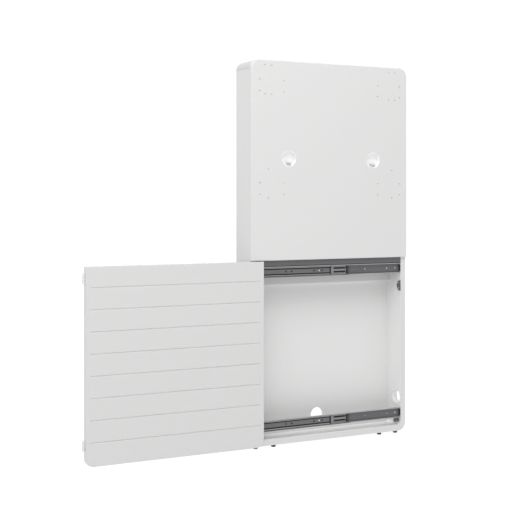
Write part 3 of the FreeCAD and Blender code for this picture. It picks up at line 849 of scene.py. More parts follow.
def turned(name: str, profile: Sequence[Flat], place: Callable[[Vector], Vector],
           segments: int = 48) -> bpy.types.Object:
    """A solid of revolution, closed at its poles.

    Args:
        name: The object's name.
        profile: Radius and height of each point, from pole to pole; the two ends have no radius.
        place: Moves a point from the turning axis Z into the cabinet.
        segments: Faces round the axis.

    Returns:
        The solid.
    """
    shape = bmesh.new()
    poles = [shape.verts.new(place(Vector((0.0, 0.0, profile[index][1])))) for index in (0, -1)]
    rings = []
    for radius, height in profile[1:-1]:
        circle = [(radius * math.cos(turn), radius * math.sin(turn))
                  for turn in (math.tau * index / segments for index in range(segments))]
        rings.append([shape.verts.new(place(Vector((x, y, height)))) for x, y in circle])
    for index in range(segments):
        other = (index + 1) % segments
        shape.faces.new((poles[0], rings[0][other], rings[0][index]))
        shape.faces.new((poles[1], rings[-1][index], rings[-1][other]))
        for ring, after in zip(rings, rings[1:]):
            shape.faces.new((ring[index], ring[other], after[other], after[index]))
    return from_bmesh(name, shape)


def facing(direction: Axis, origin: Vector) -> Callable[[Vector], Vector]:
    """A placer that turns +Z to a direction and moves the origin."""
    turn = Vector((0.0, 0.0, 1.0)).rotation_difference(Vector(direction.value))
    return lambda point: turn @ point + origin


# ---- Modifiers and geometry nodes ----
def evaluated(source: bpy.types.Object) -> bpy.types.Mesh:
    """The plain mesh of an object with its modifiers.

    Args:
        source: The object.

    Returns:
        The mesh.
    """
    graph = bpy.context.evaluated_depsgraph_get()
    graph.update()
    return bpy.data.meshes.new_from_object(source.evaluated_get(graph), depsgraph=graph)


def settle(made: bpy.types.Object) -> bpy.types.Object:
    """Apply an object's modifiers and leave it a plain mesh.

    Args:
        made: The object.

    Returns:
        The same object.
    """
    mesh = evaluated(made)
    made.modifiers.clear()
    old = made.data
    made.data = mesh
    bpy.data.meshes.remove(old)
    return made


def discard(*objects: bpy.types.Object) -> None:
    """Remove helper objects and their meshes.

    Args:
        objects: The helpers.
    """
    for helper in objects:
        mesh = helper.data
        bpy.data.objects.remove(helper)
        if mesh is not None and mesh.users == 0:
            bpy.data.meshes.remove(mesh)


def smoothed(made: bpy.types.Object, angle: float = 32.0) -> bpy.types.Object:
    """Shade curved faces smooth, keep real edges sharp and let flat faces stay flat.

    Args:
        made: The object.
        angle: The least angle of a sharp edge, in degrees.

    Returns:
        The same object.
    """
    made.data.shade_smooth()
    made.data.set_sharp_from_angle(angle=math.radians(angle))
    weighted = made.modifiers.new("flat faces", "WEIGHTED_NORMAL")
    weighted.keep_sharp = True
    weighted.weight = 100
    return settle(made)


def carved(made: bpy.types.Object, cutters: Iterable[bpy.types.Object]) -> bpy.types.Object:
    """Cut helpers out of an object and remove them.

    Args:
        made: The object.
        cutters: The helpers.

    Returns:
        The same object.
    """
    helpers = list(cutters)
    for helper in helpers:
        cut = made.modifiers.new("cut", "BOOLEAN")
        cut.operation = "DIFFERENCE"
        cut.solver = "EXACT"
        cut.object = helper
    settle(made)
    discard(*helpers)
    return made


def fused(name: str, parts: Sequence[bpy.types.Object]) -> bpy.types.Object:
    """One closed solid from overlapping ones.

    Args:
        name: The solid's name.
        parts: The overlapping solids, which are used up.

    Returns:
        The solid.
    """
    made, *others = parts
    for other in others:
        union = made.modifiers.new("union", "BOOLEAN")
        union.operation = "UNION"
        union.solver = "EXACT"
        union.object = other
    settle(made)
    discard(*others)
    made.name = name
    return made


def joined(name: str, parts: Sequence[bpy.types.Object]) -> bpy.types.Object:
    """One object from several closed ones.

    Args:
        name: The object's name.
        parts: The closed objects, which are used up.

    Returns:
        The object.
    """
    shape = bmesh.new()
    for part in parts:
        shape.from_mesh(part.data)
    discard(*parts)
    mesh = bpy.data.meshes.new(name)
    shape.to_mesh(mesh)
    shape.free()
    return linked(name, mesh)


class SocketKind(Enum):
    """The kinds of input that the geometry trees have."""

    GEOMETRY = "NodeSocketGeometry"
    OBJECT = "NodeSocketObject"
    MATERIAL = "NodeSocketMaterial"
    COUNT = "NodeSocketInt"
    VECTOR = "NodeSocketVector"


class GeometryTree(NodeTree):
    """A geometry node tree with named inputs, which works on the geometry of the object it runs on."""

    def __init__(self, name: str, inputs: dict[str, SocketKind]) -> None:
        """Make the tree, its inputs and its one output.

        Args:
            name: The tree's name.
            inputs: The kind of each input, by label, besides the geometry and the material.
        """
        super().__init__(bpy.data.node_groups.new(name, "GeometryNodeTree"))
        self.sockets = {}
        every = {"Geometry": SocketKind.GEOMETRY, **inputs, "Material": SocketKind.MATERIAL}
        for label, kind in every.items():
            made = self.tree.interface.new_socket(name=label, in_out="INPUT", socket_type=kind.value)
            self.sockets[label] = made.identifier
        self.tree.interface.new_socket(name="Geometry", in_out="OUTPUT",
                                       socket_type=SocketKind.GEOMETRY.value)
        self.entry = self.node("NodeGroupInput")
        self.exit = self.node("NodeGroupOutput")

    def given(self, label: str) -> bpy.types.NodeSocket:
        """One of the tree's inputs."""
        return self.entry.outputs[label]

    def copies(self, points: bpy.types.NodeSocket, label: str) -> bpy.types.NodeSocket:
        """The object that an input names, at each point.

        Args:
            points: The points.
            label: The input's label.

        Returns:
            The instances.
        """
        shape = self.node("GeometryNodeObjectInfo", {"transform_space": "ORIGINAL"},
                          {"Object": self.given(label)})
        spread = self.node("GeometryNodeInstanceOnPoints", None,
                           {"Points": points, "Instance": shape.outputs["Geometry"]})
        return spread.outputs["Instances"]

    def row(self) -> bpy.types.NodeSocket:
        """The points of a row with the tree's count, start and step."""
        line = self.node("GeometryNodeMeshLine", {"mode": "OFFSET"}, {
            "Count": self.given("Count"), "Start Location": self.given("Start"),
            "Offset": self.given("Step")})
        return line.outputs["Mesh"]

    def without(self, cutters: bpy.types.NodeSocket) -> bpy.types.NodeSocket:
        """The tree's geometry with the cutters cut out of it.

        Args:
            cutters: The cutters, as instances.

        Returns:
            The cut geometry.
        """
        real = self.node("GeometryNodeRealizeInstances", None, {"Geometry": cutters})
        cut = self.node("GeometryNodeMeshBoolean", {"operation": "DIFFERENCE", "solver": "EXACT"},
                        {"Mesh 1": self.given("Geometry"), "Mesh 2": real.outputs["Geometry"]})
        return cut.outputs["Mesh"]

    def finish(self, geometry: bpy.types.NodeSocket) -> "GeometryTree":
        """End the tree in Realize Instances and Set Material.

        Args:
            geometry: The finished geometry.

        Returns:
            The tree.
        """
        real = self.node("GeometryNodeRealizeInstances", None, {"Geometry": geometry})
        dressed = self.node("GeometryNodeSetMaterial", None,
                            {"Geometry": real.outputs["Geometry"], "Material": self.given("Material")})
        self.put(self.exit.inputs[0], dressed.outputs["Geometry"])
        return self

    def run(self, made: bpy.types.Object, values: dict[str, object]) -> bpy.types.Object:
        """Run the tree on an object and leave it a plain mesh, which is painted later.

        Args:
            made: The object, which is the tree's geometry.
            values: The tree's other inputs, by label.

        Returns:
            The same object.
        """
        modifier = made.modifiers.new(self.tree.name, "NODES")
        modifier.node_group = self.tree
        for label, value in {**values, "Material": None}.items():
            modifier[self.sockets[label]] = value
        return settle(made)


ROW = {"Count": SocketKind.COUNT, "Start": SocketKind.VECTOR, "Step": SocketKind.VECTOR}


def scatter_tree() -> GeometryTree:
    """A tree that puts one shape at each point of a mesh."""
    tree = GeometryTree("shape at points", {"Shape": SocketKind.OBJECT})
    return tree.finish(tree.copies(tree.given("Geometry"), "Shape"))


def row_tree() -> GeometryTree:
    """A tree that makes two mirrored rows of one shape, such as a cage's balls.

    Returns:
        The tree.
    """
    tree = GeometryTree("rows", {"Shape": SocketKind.OBJECT, **ROW, "Other row": SocketKind.VECTOR})
    row = tree.copies(tree.row(), "Shape")
    other = tree.node("GeometryNodeTransform", None,
                      {"Geometry": row, "Translation": tree.given("Other row")})
    both = tree.node("GeometryNodeJoinGeometry")
    for part in (row, other.outputs["Geometry"]):
        tree.put(both.inputs[0], part)
    return tree.finish(both.outputs["Geometry"])


def row_cut_tree() -> GeometryTree:
    """A tree that cuts a row of one shape out of a piece, such as the grooves between boards."""
    tree = GeometryTree("row of cuts", {"Cutter": SocketKind.OBJECT, **ROW})
    return tree.finish(tree.without(tree.copies(tree.row(), "Cutter")))


def point_cut_tree() -> GeometryTree:
    """A tree that cuts one shape out of a piece at each point of another mesh, such as drilled holes."""
    tree = GeometryTree("cuts at points", {"Cutter": SocketKind.OBJECT, "Points": SocketKind.OBJECT})
    points = tree.node("GeometryNodeObjectInfo", {"transform_space": "ORIGINAL"},
                       {"Object": tree.given("Points")})
    return tree.finish(tree.without(tree.copies(points.outputs["Geometry"], "Cutter")))


# ---- What the frame says ----
@dataclass(frozen=True)
class Frame:
    """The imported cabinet's record and boxes, in millimetres."""

    record: dict

    def span(self, node: str) -> tuple[Vector, Vector]:
        """The lowest and highest corner of a node."""
        low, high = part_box(node)
        return Vector([round(v * MM, 2) for v in low]), Vector([round(v * MM, 2) for v in high])

    def body(self, node: str) -> str:
        """The body that a node moves with."""
        bodies = self.record["behaviour"]["bodies"]
        return next(body for body, nodes in bodies.items() if node in nodes)

    def slot(self, node: str) -> str:
        """The material slot of a node."""
        return next(part["material_slot"] for part in self.record["subparts"] if part["node"] == node)

    def mount(self, name: str) -> tuple[Vector, float]:
        """The centre and radius of a round mount."""
        found = next(mount for mount in self.record["mounts"] if mount["name"] == name)
        return Vector(found["pos_m"]) * MM, found["dims"]["r_mm"]

    def bolt_holes(self, start: str) -> list[Vector]:
        """The holes of every bolt pattern whose name starts in one way.

        Args:
            start: The start of the patterns' names.

        Returns:
            The holes' centres.
        """
        holes = []
        for mount in self.record["mounts"]:
            if mount["kind"] == "bolt_pattern" and mount["name"].startswith(start):
                centre = Vector(mount["pos_m"]) * MM
                across = mount["dims"].get("spacing_x_mm", 0.0) / 2
                up = mount["dims"].get("spacing_y_mm", 0.0) / 2
                holes += [centre + Vector((x, 0.0, z)) for x in sorted({-across, across})
                          for z in sorted({-up, up})]
        return holes


@dataclass(frozen=True)
class Bench:
    """Where shapes become pieces: it paints them, names them and puts them on their bodies."""

    frame: Frame
    scatter: GeometryTree = field(default_factory=scatter_tree)
    rows: GeometryTree = field(default_factory=row_tree)
    row_cuts: GeometryTree = field(default_factory=row_cut_tree)
    point_cuts: GeometryTree = field(default_factory=point_cut_tree)

    def hand_over(self, name: str, made: bpy.types.Object, node: str, finish: object) -> None:
        """Turn a shape in millimetres into a piece that stands for a node.

        Args:
            name: The piece's name.
            made: The shape.
            node: The node.
            finish: A finish, which makes the material.
        """
        made.name = name
        made.data.transform(Matrix.Scale(1 / MM, 4))
        made.data.name = name
        made.data.materials.clear()
        made.data.materials.append(painted(finish, name, made))
        smoothed(made)
        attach(made, self.frame.body(node))
        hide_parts(node)
        self.frame.slot(node)
        LOG.info("%s: %d faces", name, len(made.data.polygons))

    def at_points(self, template: bpy.types.Object, places: Iterable[Vector]) -> bpy.types.Object:
        """Copies of a template at each place, made by a tree; the template is used up.

        Args:
            template: The shape to copy.
            places: Where the copies go.

        Returns:
            The copies, as one object.
        """
        made = self.scatter.run(point_mesh(places), {"Shape": template})
        discard(template)
        return made

    def drilled(self, made: bpy.types.Object, cutter: bpy.types.Object,
                places: Iterable[Vector]) -> bpy.types.Object:
        """Cut a cutter out of a shape at each place; the cutter is used up.

        Args:
            made: The shape.
            cutter: The cutter, at the origin.
            places: Where it cuts.

        Returns:
            The same shape.
        """
        points = point_mesh(places)
        self.point_cuts.run(made, {"Cutter": cutter, "Points": points})
        discard(cutter, points)
        return made

    def row_of_cuts(self, made: bpy.types.Object, cutter: bpy.types.Object, count: int, start: Vector,
                    step: Vector) -> bpy.types.Object:
        """Cut a row of one cutter out of a shape; the cutter is used up.

        Args:
            made: The shape.
            cutter: The cutter, at the origin.
            count: How many cuts there are.
            start: Where the first one is.
            step: From one to the next.

        Returns:
            The same shape.
        """
        self.row_cuts.run(made, {"Cutter": cutter, "Count": count, "Start": start, "Step": step})
        discard(cutter)
        return made


@dataclass(frozen=True)
class Assembly:
    """A group of pieces that one bench makes."""

    bench: Bench

    def span(self, node: str) -> tuple[Vector, Vector]:
        """The lowest and highest corner of a node."""
        return self.bench.frame.span(node)

    def plain_board(self, node: str, name: str, finish: object, edge: float = 0.4) -> None:
        """A plain board for a node that fills its box."""
        self.bench.hand_over(name, board(name, *self.span(node), edge), node, finish)


def point_mesh(places: Iterable[Vector]) -> bpy.types.Object:
    """An object of loose points.

    Args:
        places: The points' places.

    Returns:
        The object.
    """
    mesh = bpy.data.meshes.new("places")
    mesh.from_pydata([tuple(place) for place in places], [], [])
    return linked("places", mesh)


SHARED: dict[object, bpy.types.Material] = {}


def painted(finish: object, name: str, made: bpy.types.Object) -> bpy.types.Material:
    """The material of a piece; lacquer also needs to know where the board's edges are.

    Args:
        finish: The finish.
        name: The material's name, where the piece has one of its own.
        made: The piece, in metres.

    Returns:
        The material.
    """
    if isinstance(finish, Lacquer):
        corners = [Vector(corner) for corner in made.bound_box]
        low, high = (Vector([pick(corner[axis] for corner in corners) for axis in range(3)])
                     for pick in (min, max))
        return finish.material(name, low, high)
    if finish not in SHARED:
        SHARED[finish] = finish.material(type(finish).__name__)
    return SHARED[finish]


# ---- Fasteners ----
@dataclass(frozen=True)
class Screw:
    """A cross-recessed screw."""

    head_radius: float
    head_height: float
    shank_radius: float
    shank_length: float
    sunk: bool = False

    def template(self, direction: Axis) -> bpy.types.Object:
        """A screw whose head's bearing face, or a sunk head's top, is at the origin.

        Args:
            direction: Where the head faces.

        Returns:
            The screw.
        """
        head, shank, rise = self.head_radius, self.shank_radius, self.head_height
        if self.sunk:
            profile = [(0.0, -self.shank_length), (shank, -self.shank_length), (shank, -rise),
                       (head - 0.1, -0.15), (head - 0.15, 0.0), (0.0, 0.0)]
            top = 0.0
        else:
            dome = arc((head - rise * 0.8, rise * 0.2), rise * 0.8, 0, 90, 5)
            profile = [(0.0, -self.shank_length), (shank, -self.shank_length), (shank, 0.0), (head, 0.0),
                       *dome, (0.0, rise)]
            top = rise
        place = facing(direction, ORIGIN)
        made = turned("screw", profile, place, 28)
        reach, half, deep = head * 0.58, head * 0.13, max(0.7, rise * 0.55)
        bars = []
        for u, v in ((reach, half), (half, reach)):
            outline = rectangle((-u, -v), (u, v), (half * 0.4,) * 4, 2)
            bars.append(slab("recess", outline, (top - deep, top + 1.0), (half * 0.5, 0.01),
                             lambda a, b, c: place(Vector((a, b, c))), 2))
        return carved(made, bars)


@dataclass(frozen=True)
class HexBolt:
    """A hexagon bolt with a washer face."""

    across: float
    head_height: float
    shank_radius: float
    shank_length: float

    def template(self, direction: Axis) -> bpy.types.Object:
        """A bolt whose head's bearing face is at the origin.

        Args:
            direction: Where the head faces.

        Returns:
            The bolt.
        """
        place = facing(direction, ORIGIN)
        corner = self.across / 2 / math.cos(math.pi / 6)
        hexagon = arc((0.0, 0.0), corner, 0, 300, 5)
        head = slab("head", shaped(hexagon), (0.0, self.head_height), (0.05, 0.5),
                    lambda a, b, c: place(Vector((a, b, c))), 2)
        shank = turned("shank", [(0.0, -self.shank_length), (self.shank_radius, -self.shank_length),
                                 (self.shank_radius, 0.2), (0.0, 0.2)], place, 24)
        return fused("bolt", [head, shank])


def bore(radius: float, depth: float, flare: float, direction: Axis, centre: Vector,
         segments: int = 64) -> bpy.types.Object:
    """A cutter for a round hole with an eased mouth.

    Args:
        radius: The hole's radius.
        depth: The hole's depth.
        flare: The mouth's rounding.
        direction: The way the cutter goes in.
        centre: The mouth's centre.
        segments: Faces round the hole.

    Returns:
        The cutter.
    """
    over = 1.0
    mouth = [(radius + flare * (1 - math.cos(turn)), flare * (1 - math.sin(turn)))
             for turn in (math.pi / 2 * (1 - step / 4) for step in range(5))]
    mouth = sorted(mouth, key=lambda point: point[1])
    profile = [(0.0, -over), (radius + flare, -over), *mouth, (radius, depth), (0.0, depth)]
    return turned("bore", profile, facing(direction, centre), segments)


# ---- Upper box ----
@dataclass(frozen=True)
class UpperBox(Assembly):
    """The closed box with the drilled front, its recesses and the hooks in them.

    The bracket holes are blind and shallow here; in the design they go through to threaded inserts.
    """

    paint: Lacquer
    back: BackBoard
    plastic: MouldedPlastic
    steel: PlatedSteel
    corner_radius: float = 38.0
    wall: float = 18.0
    front_rounding: float = 5.0
    side_rounding: float = 1.5
    corner_painted_shade: float = 0.87
    hole_radius: float = 2.5
    hole_depth: float = 4.6
    cup_radius: float = 36.0
    cup_wall: float = 2.0
    cup_heel: float = 4.0
    cup_dish: float = 9.0
    hook_sheet: float = 2.5
    hook_bend: float = 3.4
    hook_bar: float = 6.5
    hook_foot: float = 10.0
    hook_end: float = 0.6
    hook_screw_reach: float = 7.0

    def build(self) -> None:
        """Make the whole box."""
        self.front_board()
        for side in SIDES:
            self.corner(side)
            self.plain_board(f"upper_{side}_side", f"tall_side_{side}", self.paint, self.side_rounding)
            self.cup(side)
            self.hook(side)
        self.plain_board("upper_top_panel", "top_board", self.paint)
        self.plain_board("upper_bottom_panel", "upper_floor_board", self.paint)
        self.back_board()
        self.hook_screws()

    def front_board(self) -> None:
        """The front, with eased holes for the brackets and the two recesses."""
        low, high = self.span("upper_front_panel")
        outline = rectangle((low.x, low.z), (high.x, high.z),
                            (0.4, 0.4, self.corner_radius, self.corner_radius), 20)
        made = slab("front", outline, (low.y, high.y), (self.front_rounding, 0.4), steps=7)
        holes = [Vector((place.x, low.y, place.z)) for place in self.bench.frame.bolt_holes("bracket")]
        hole = bore(self.hole_radius, self.hole_depth, 0.4, Axis.TO_WALL, ORIGIN, 24)
        made = self.bench.drilled(made, hole, holes)
        cups = [bore(self.cup_radius, high.y - low.y + 1, 0.6, Axis.TO_WALL, self.cup_mouth(side), 96)
                for side in SIDES]
        self.bench.hand_over("drilled_front_board", carved(made, cups), "upper_front_panel", self.paint)

    def cup_mouth(self, side: str) -> Vector:
        """The centre of one recess, on the front."""
        low, high = self.span(f"hanger_cup_{side}")
        return Vector(((low.x + high.x) / 2, low.y, (low.z + high.z) / 2))

    def corner(self, side: str) -> None:
        """One rounded top corner.

        Args:
            side: Left or right.
        """
        low, high = self.span(f"upper_{side}_corner")
        centre, start, end = ((high.x, low.z), 90, 180) if side == "left" else ((low.x, low.z), 0, 90)
        points = [*arc(centre, self.corner_radius, start, end, 20),
                  *arc(centre, self.corner_radius - self.wall, end, start, 20)]
        made = slab("corner", shaped(points), (low.y, high.y), (0.35, 0.35))
        # Painted shade: the corner's paint is darkened where the top corner would catch more light from
        # above.
        paint = replace(self.paint, colour=tinted(self.paint.colour, self.corner_painted_shade))
        self.bench.hand_over(f"top_corner_{side}", made, f"upper_{side}_corner", paint)

    def back_board(self) -> None:
        """The thin back, rounded at its top corners."""
        low, high = self.span("upper_back_panel")
        inner = self.corner_radius - self.wall
        outline = rectangle((low.x, low.z), (high.x, high.z), (0.3, 0.3, inner, inner))
        made = slab("back", outline, (low.y, high.y), (0.3, 0.3))
        self.bench.hand_over("upper_back_board", made, "upper_back_panel", self.back)

    def cup(self, side: str) -> None:
        """One moulded cup: a rolled lip, a straight wall and a dished floor.

        Args:
            side: Left or right.
        """
        low, high = self.span(f"hanger_cup_{side}")
        deep = high.y - low.y
        floor = deep - self.cup_wall
        inner = self.cup_radius - self.cup_wall
        heel, lip = self.cup_heel, self.cup_wall / 2
        profile = [(0.0, deep), *arc((self.cup_radius - heel, deep - heel), heel, 90, 0, 8),
                   *arc((self.cup_radius - lip, lip), lip, 0, -180, 8),
                   *arc((inner - heel, floor - heel), heel, 0, 90, 8),
                   (inner - self.cup_dish, floor), (0.0, floor)]
        made = turned("cup", profile, facing(Axis.TO_WALL, self.cup_mouth(side)), 96)
        self.bench.hand_over(f"recess_cup_{side}", made, f"hanger_cup_{side}", self.plastic)

    def hook(self, side: str) -> None:
        """One bent steel hook: a bar with a leg at its right, a shelf and a foot on the cup's floor.

        Args:
            side: Left or right.
        """
        low, high = self.span(f"hanger_hook_{side}")
        sheet, bend, end = self.hook_sheet, self.hook_bend, self.hook_end
        bar, foot = high.z - self.hook_bar, high.z - self.hook_foot
        strip = filleted([
            (low.y, bar, end), (low.y, high.z, bend), (high.y, high.z, bend), (high.y, foot, end),
            (high.y - sheet, foot, end), (high.y - sheet, high.z - sheet, bend - sheet),
            (low.y + sheet, high.z - sheet, bend - sheet), (low.y + sheet, bar, end)], 5)
        across = slab("bar", strip, (low.x, high.x), (0.35, 0.35), along_x, 3)
        outline = rectangle((high.x - self.hook_bar, low.z), (high.x, high.z - bend), (2.6, 2.6, 0.5, 0.5), 6)
        leg = slab("leg", outline, (low.y, low.y + sheet), (0.35, 0.35), along_y, 3)
        self.bench.hand_over(f"recess_hook_{side}", fused("hook", [across, leg]), f"hanger_hook_{side}",
                             self.steel)

    def hook_screws(self) -> None:
        """The pan-head screws that hold the hooks, from behind the cups."""
        low, high = self.span("hook_screws")
        screw = Screw(head_radius=2.8, head_height=1.4, shank_radius=1.8, shank_length=4.4)
        places = []
        for side in SIDES:
            hook_low, hook_high = self.span(f"hanger_hook_{side}")
            middle = (hook_low.x + hook_high.x) / 2
            places += [Vector((middle + dx, high.y - screw.head_height, (low.z + high.z) / 2))
                       for dx in (-self.hook_screw_reach, self.hook_screw_reach)]
        made = self.bench.at_points(screw.template(Axis.TO_WALL), places)
        self.bench.hand_over("recess_hook_screws", made, "hook_screws", self.steel)


# ---- Lower box ----
@dataclass(frozen=True)
class LowerBox(Assembly):
    """The open box with its service holes, fixing rail, notches and feet."""

    paint: Lacquer
    back: BackBoard
    rubber: MouldedRubber
    steel: PlatedSteel
    corner_radius: float = 38.0
    wall: float = 25.0
    tail: float = 24.0
    notch_gap: float = 2.2
    wall_hole_radius: float = 4.0
    foot_radius: float = 11.0
    foot_spacing: float = 88.0
    foot_height: float = 13.0
    foot_sole: float = 9.5
    foot_hollow: float = 4.2
    foot_screw_seat: float = 6.5
    grip_depth: float = 0.45
    grips: tuple[float, float] = (4.2, 7.4)

    def build(self) -> None:
        """Make the whole box."""
        self.left_wall()
        self.right_wall()
        for side in SIDES:
            self.corner(side)
        self.plain_board("lower_bottom_panel", "bottom_board", self.paint, 0.5)
        self.back_board()
        self.fixing_rail()
        self.feet("front_feet", "front_row_feet")
        self.feet("rear_feet", "rear_row_feet")
        self.foot_screws()

    def left_wall(self) -> None:
        """The left wall, notched for the slides' moving members."""
        low, high = self.span("lower_left_side")
        over = 5.0
        notches = []
        for level in LEVELS:
            slide_low, slide_high = self.span(f"{level}_slide_middle")
            _, outer_high = self.span(f"{level}_slide_outer")
            outline = rectangle((low.y - over, slide_low.z - self.notch_gap),
                                (outer_high.y + 0.3, slide_high.z + self.notch_gap), (0.3, 1.2, 1.2, 0.3), 4)
            notches.append(slab("notch", outline, (low.x - over, high.x + over), (0.01, 0.01), along_x, 1))
        made = carved(board("wall", low, high, 0.6), notches)
        self.bench.hand_over("low_side_left", made, "lower_left_side", self.paint)

    def right_wall(self) -> None:
        """The right wall with its service hole."""
        low, high = self.span("lower_right_side")
        centre, radius = self.bench.frame.mount("side_hose_hole")
        mouth = Vector((low.x, centre.y, centre.z))
        hole = bore(radius, high.x - low.x + 1, 1.0, Axis.TO_RIGHT, mouth, 96)
        made = carved(board("wall", low, high, 0.6), [hole])
        self.bench.hand_over("low_side_right", made, "lower_right_side", self.paint)

    def corner(self, side: str) -> None:
        """One rounded bottom corner with its straight tail.

        Args:
            side: Left or right.
        """
        low, high = self.span(f"lower_{side}_corner")
        sign = -1 if side == "left" else 1
        outer, inner = self.corner_radius, self.corner_radius - self.wall
        x = low.x + outer if side == "left" else high.x - outer
        z = low.z + outer
        quarter = [(math.cos(turn), math.sin(turn)) for turn in map(math.radians, range(0, 91, 5))]
        rims = [[(x + sign * radius * across, z - radius * down) for across, down in turns]
                for radius, turns in ((outer, quarter), (inner, reversed(quarter)))]
        tail = [(x - sign * self.tail, z - outer), (x - sign * self.tail, z - inner)]
        made = slab("corner", shaped([*rims[0], *tail, *rims[1]]), (low.y, high.y), (0.5, 0.4))
        self.bench.hand_over(f"bottom_corner_{side}", made, f"lower_{side}_corner", self.paint)

    def back_board(self) -> None:
        """The thin back with its service hole and the wall screws' holes."""
        low, high = self.span("lower_back_panel")
        inner = self.corner_radius - self.wall
        outline = rectangle((low.x, low.z), (high.x, high.z), (inner, inner, 0.3, 0.3))
        made = slab("back", outline, (low.y, high.y), (0.3, 0.3))
        centre, radius = self.bench.frame.mount("back_hose_hole")
        hole = bore(radius, high.y - low.y + 1, 0.5, Axis.TO_WALL, Vector((centre.x, low.y, centre.z)), 96)
        made = carved(made, [hole])
        drill = bore(self.wall_hole_radius, 12.0, 0.2, Axis.TO_WALL, ORIGIN, 32)
        made = self.bench.drilled(made, drill, self.wall_holes(low.y - 1))
        self.bench.hand_over("lower_back_board", made, "lower_back_panel", self.back)

    def wall_holes(self, y: float) -> list[Vector]:
        """The wall screws' places, at a depth."""
        return [Vector((place.x, y, place.z)) for place in self.bench.frame.bolt_holes("wall_screws")]

    def fixing_rail(self) -> None:
        """The rail across the top of the back, drilled for the wall screws."""
        low, high = self.span("lower_back_rail")
        drill = bore(self.wall_hole_radius, high.y - low.y + 1, 1.6, Axis.TO_WALL, ORIGIN, 40)
        made = self.bench.drilled(board("rail", low, high, 1.0), drill, self.wall_holes(low.y))
        self.bench.hand_over("wall_fixing_rail", made, "lower_back_rail", self.paint)

    def foot_places(self, node: str) -> list[Vector]:
        """The centres of one row of feet, on the floor.

        Args:
            node: The row's node.

        Returns:
            The centres.
        """
        low, high = self.span(node)
        y = (low.y + high.y) / 2
        ends = ((low.x + self.foot_radius, 1), (high.x - self.foot_radius, -1))
        return [Vector((x + sign * shift, y, 0.0)) for x, sign in ends for shift in (0.0, self.foot_spacing)]

    def feet(self, node: str, name: str) -> None:
        """One row of tapered rubber feet with two grip rings and a counterbore.

        Args:
            node: The row's node.
            name: The piece's name.
        """
        sole, height, hollow, depth = self.foot_sole, self.foot_height, self.foot_hollow, self.grip_depth
        taper = (self.foot_radius - sole) / height
        side = [(sole - 0.8, 0.0), *arc((sole - 0.7, 0.8), 0.8, -60, 0, 4)]
        for middle in self.grips:
            radius = sole + taper * middle
            side += [(radius - 0.1, middle - 0.8), (radius - depth, middle - 0.4),
                     (radius - depth, middle + 0.4), (radius + 0.05, middle + 0.8)]
        side += arc((self.foot_radius - 0.7, height - 0.7), 0.7, 0, 90, 4)
        profile = [(0.0, self.foot_screw_seat), (hollow, self.foot_screw_seat), (hollow, 0.5),
                   (hollow + 0.5, 0.0), *side, (0.0, height)]
        made = self.bench.at_points(turned("foot", profile, standing, 40), self.foot_places(node))
        self.bench.hand_over(name, made, node, self.rubber)

    def foot_screws(self) -> None:
        """The pan-head screws in the feet."""
        screw = Screw(head_radius=4.1, head_height=2.8, shank_radius=1.8, shank_length=24.0)
        places = [place + Vector((0.0, 0.0, self.foot_screw_seat))
                  for node in ("front_feet", "rear_feet") for place in self.foot_places(node)]
        made = self.bench.at_points(screw.template(Axis.DOWN), places)
        self.bench.hand_over("feet_screws", made, "foot_screws", self.steel)


def standing(point: Vector) -> Vector:
    """A placer that leaves a shape as it stands."""
    return point


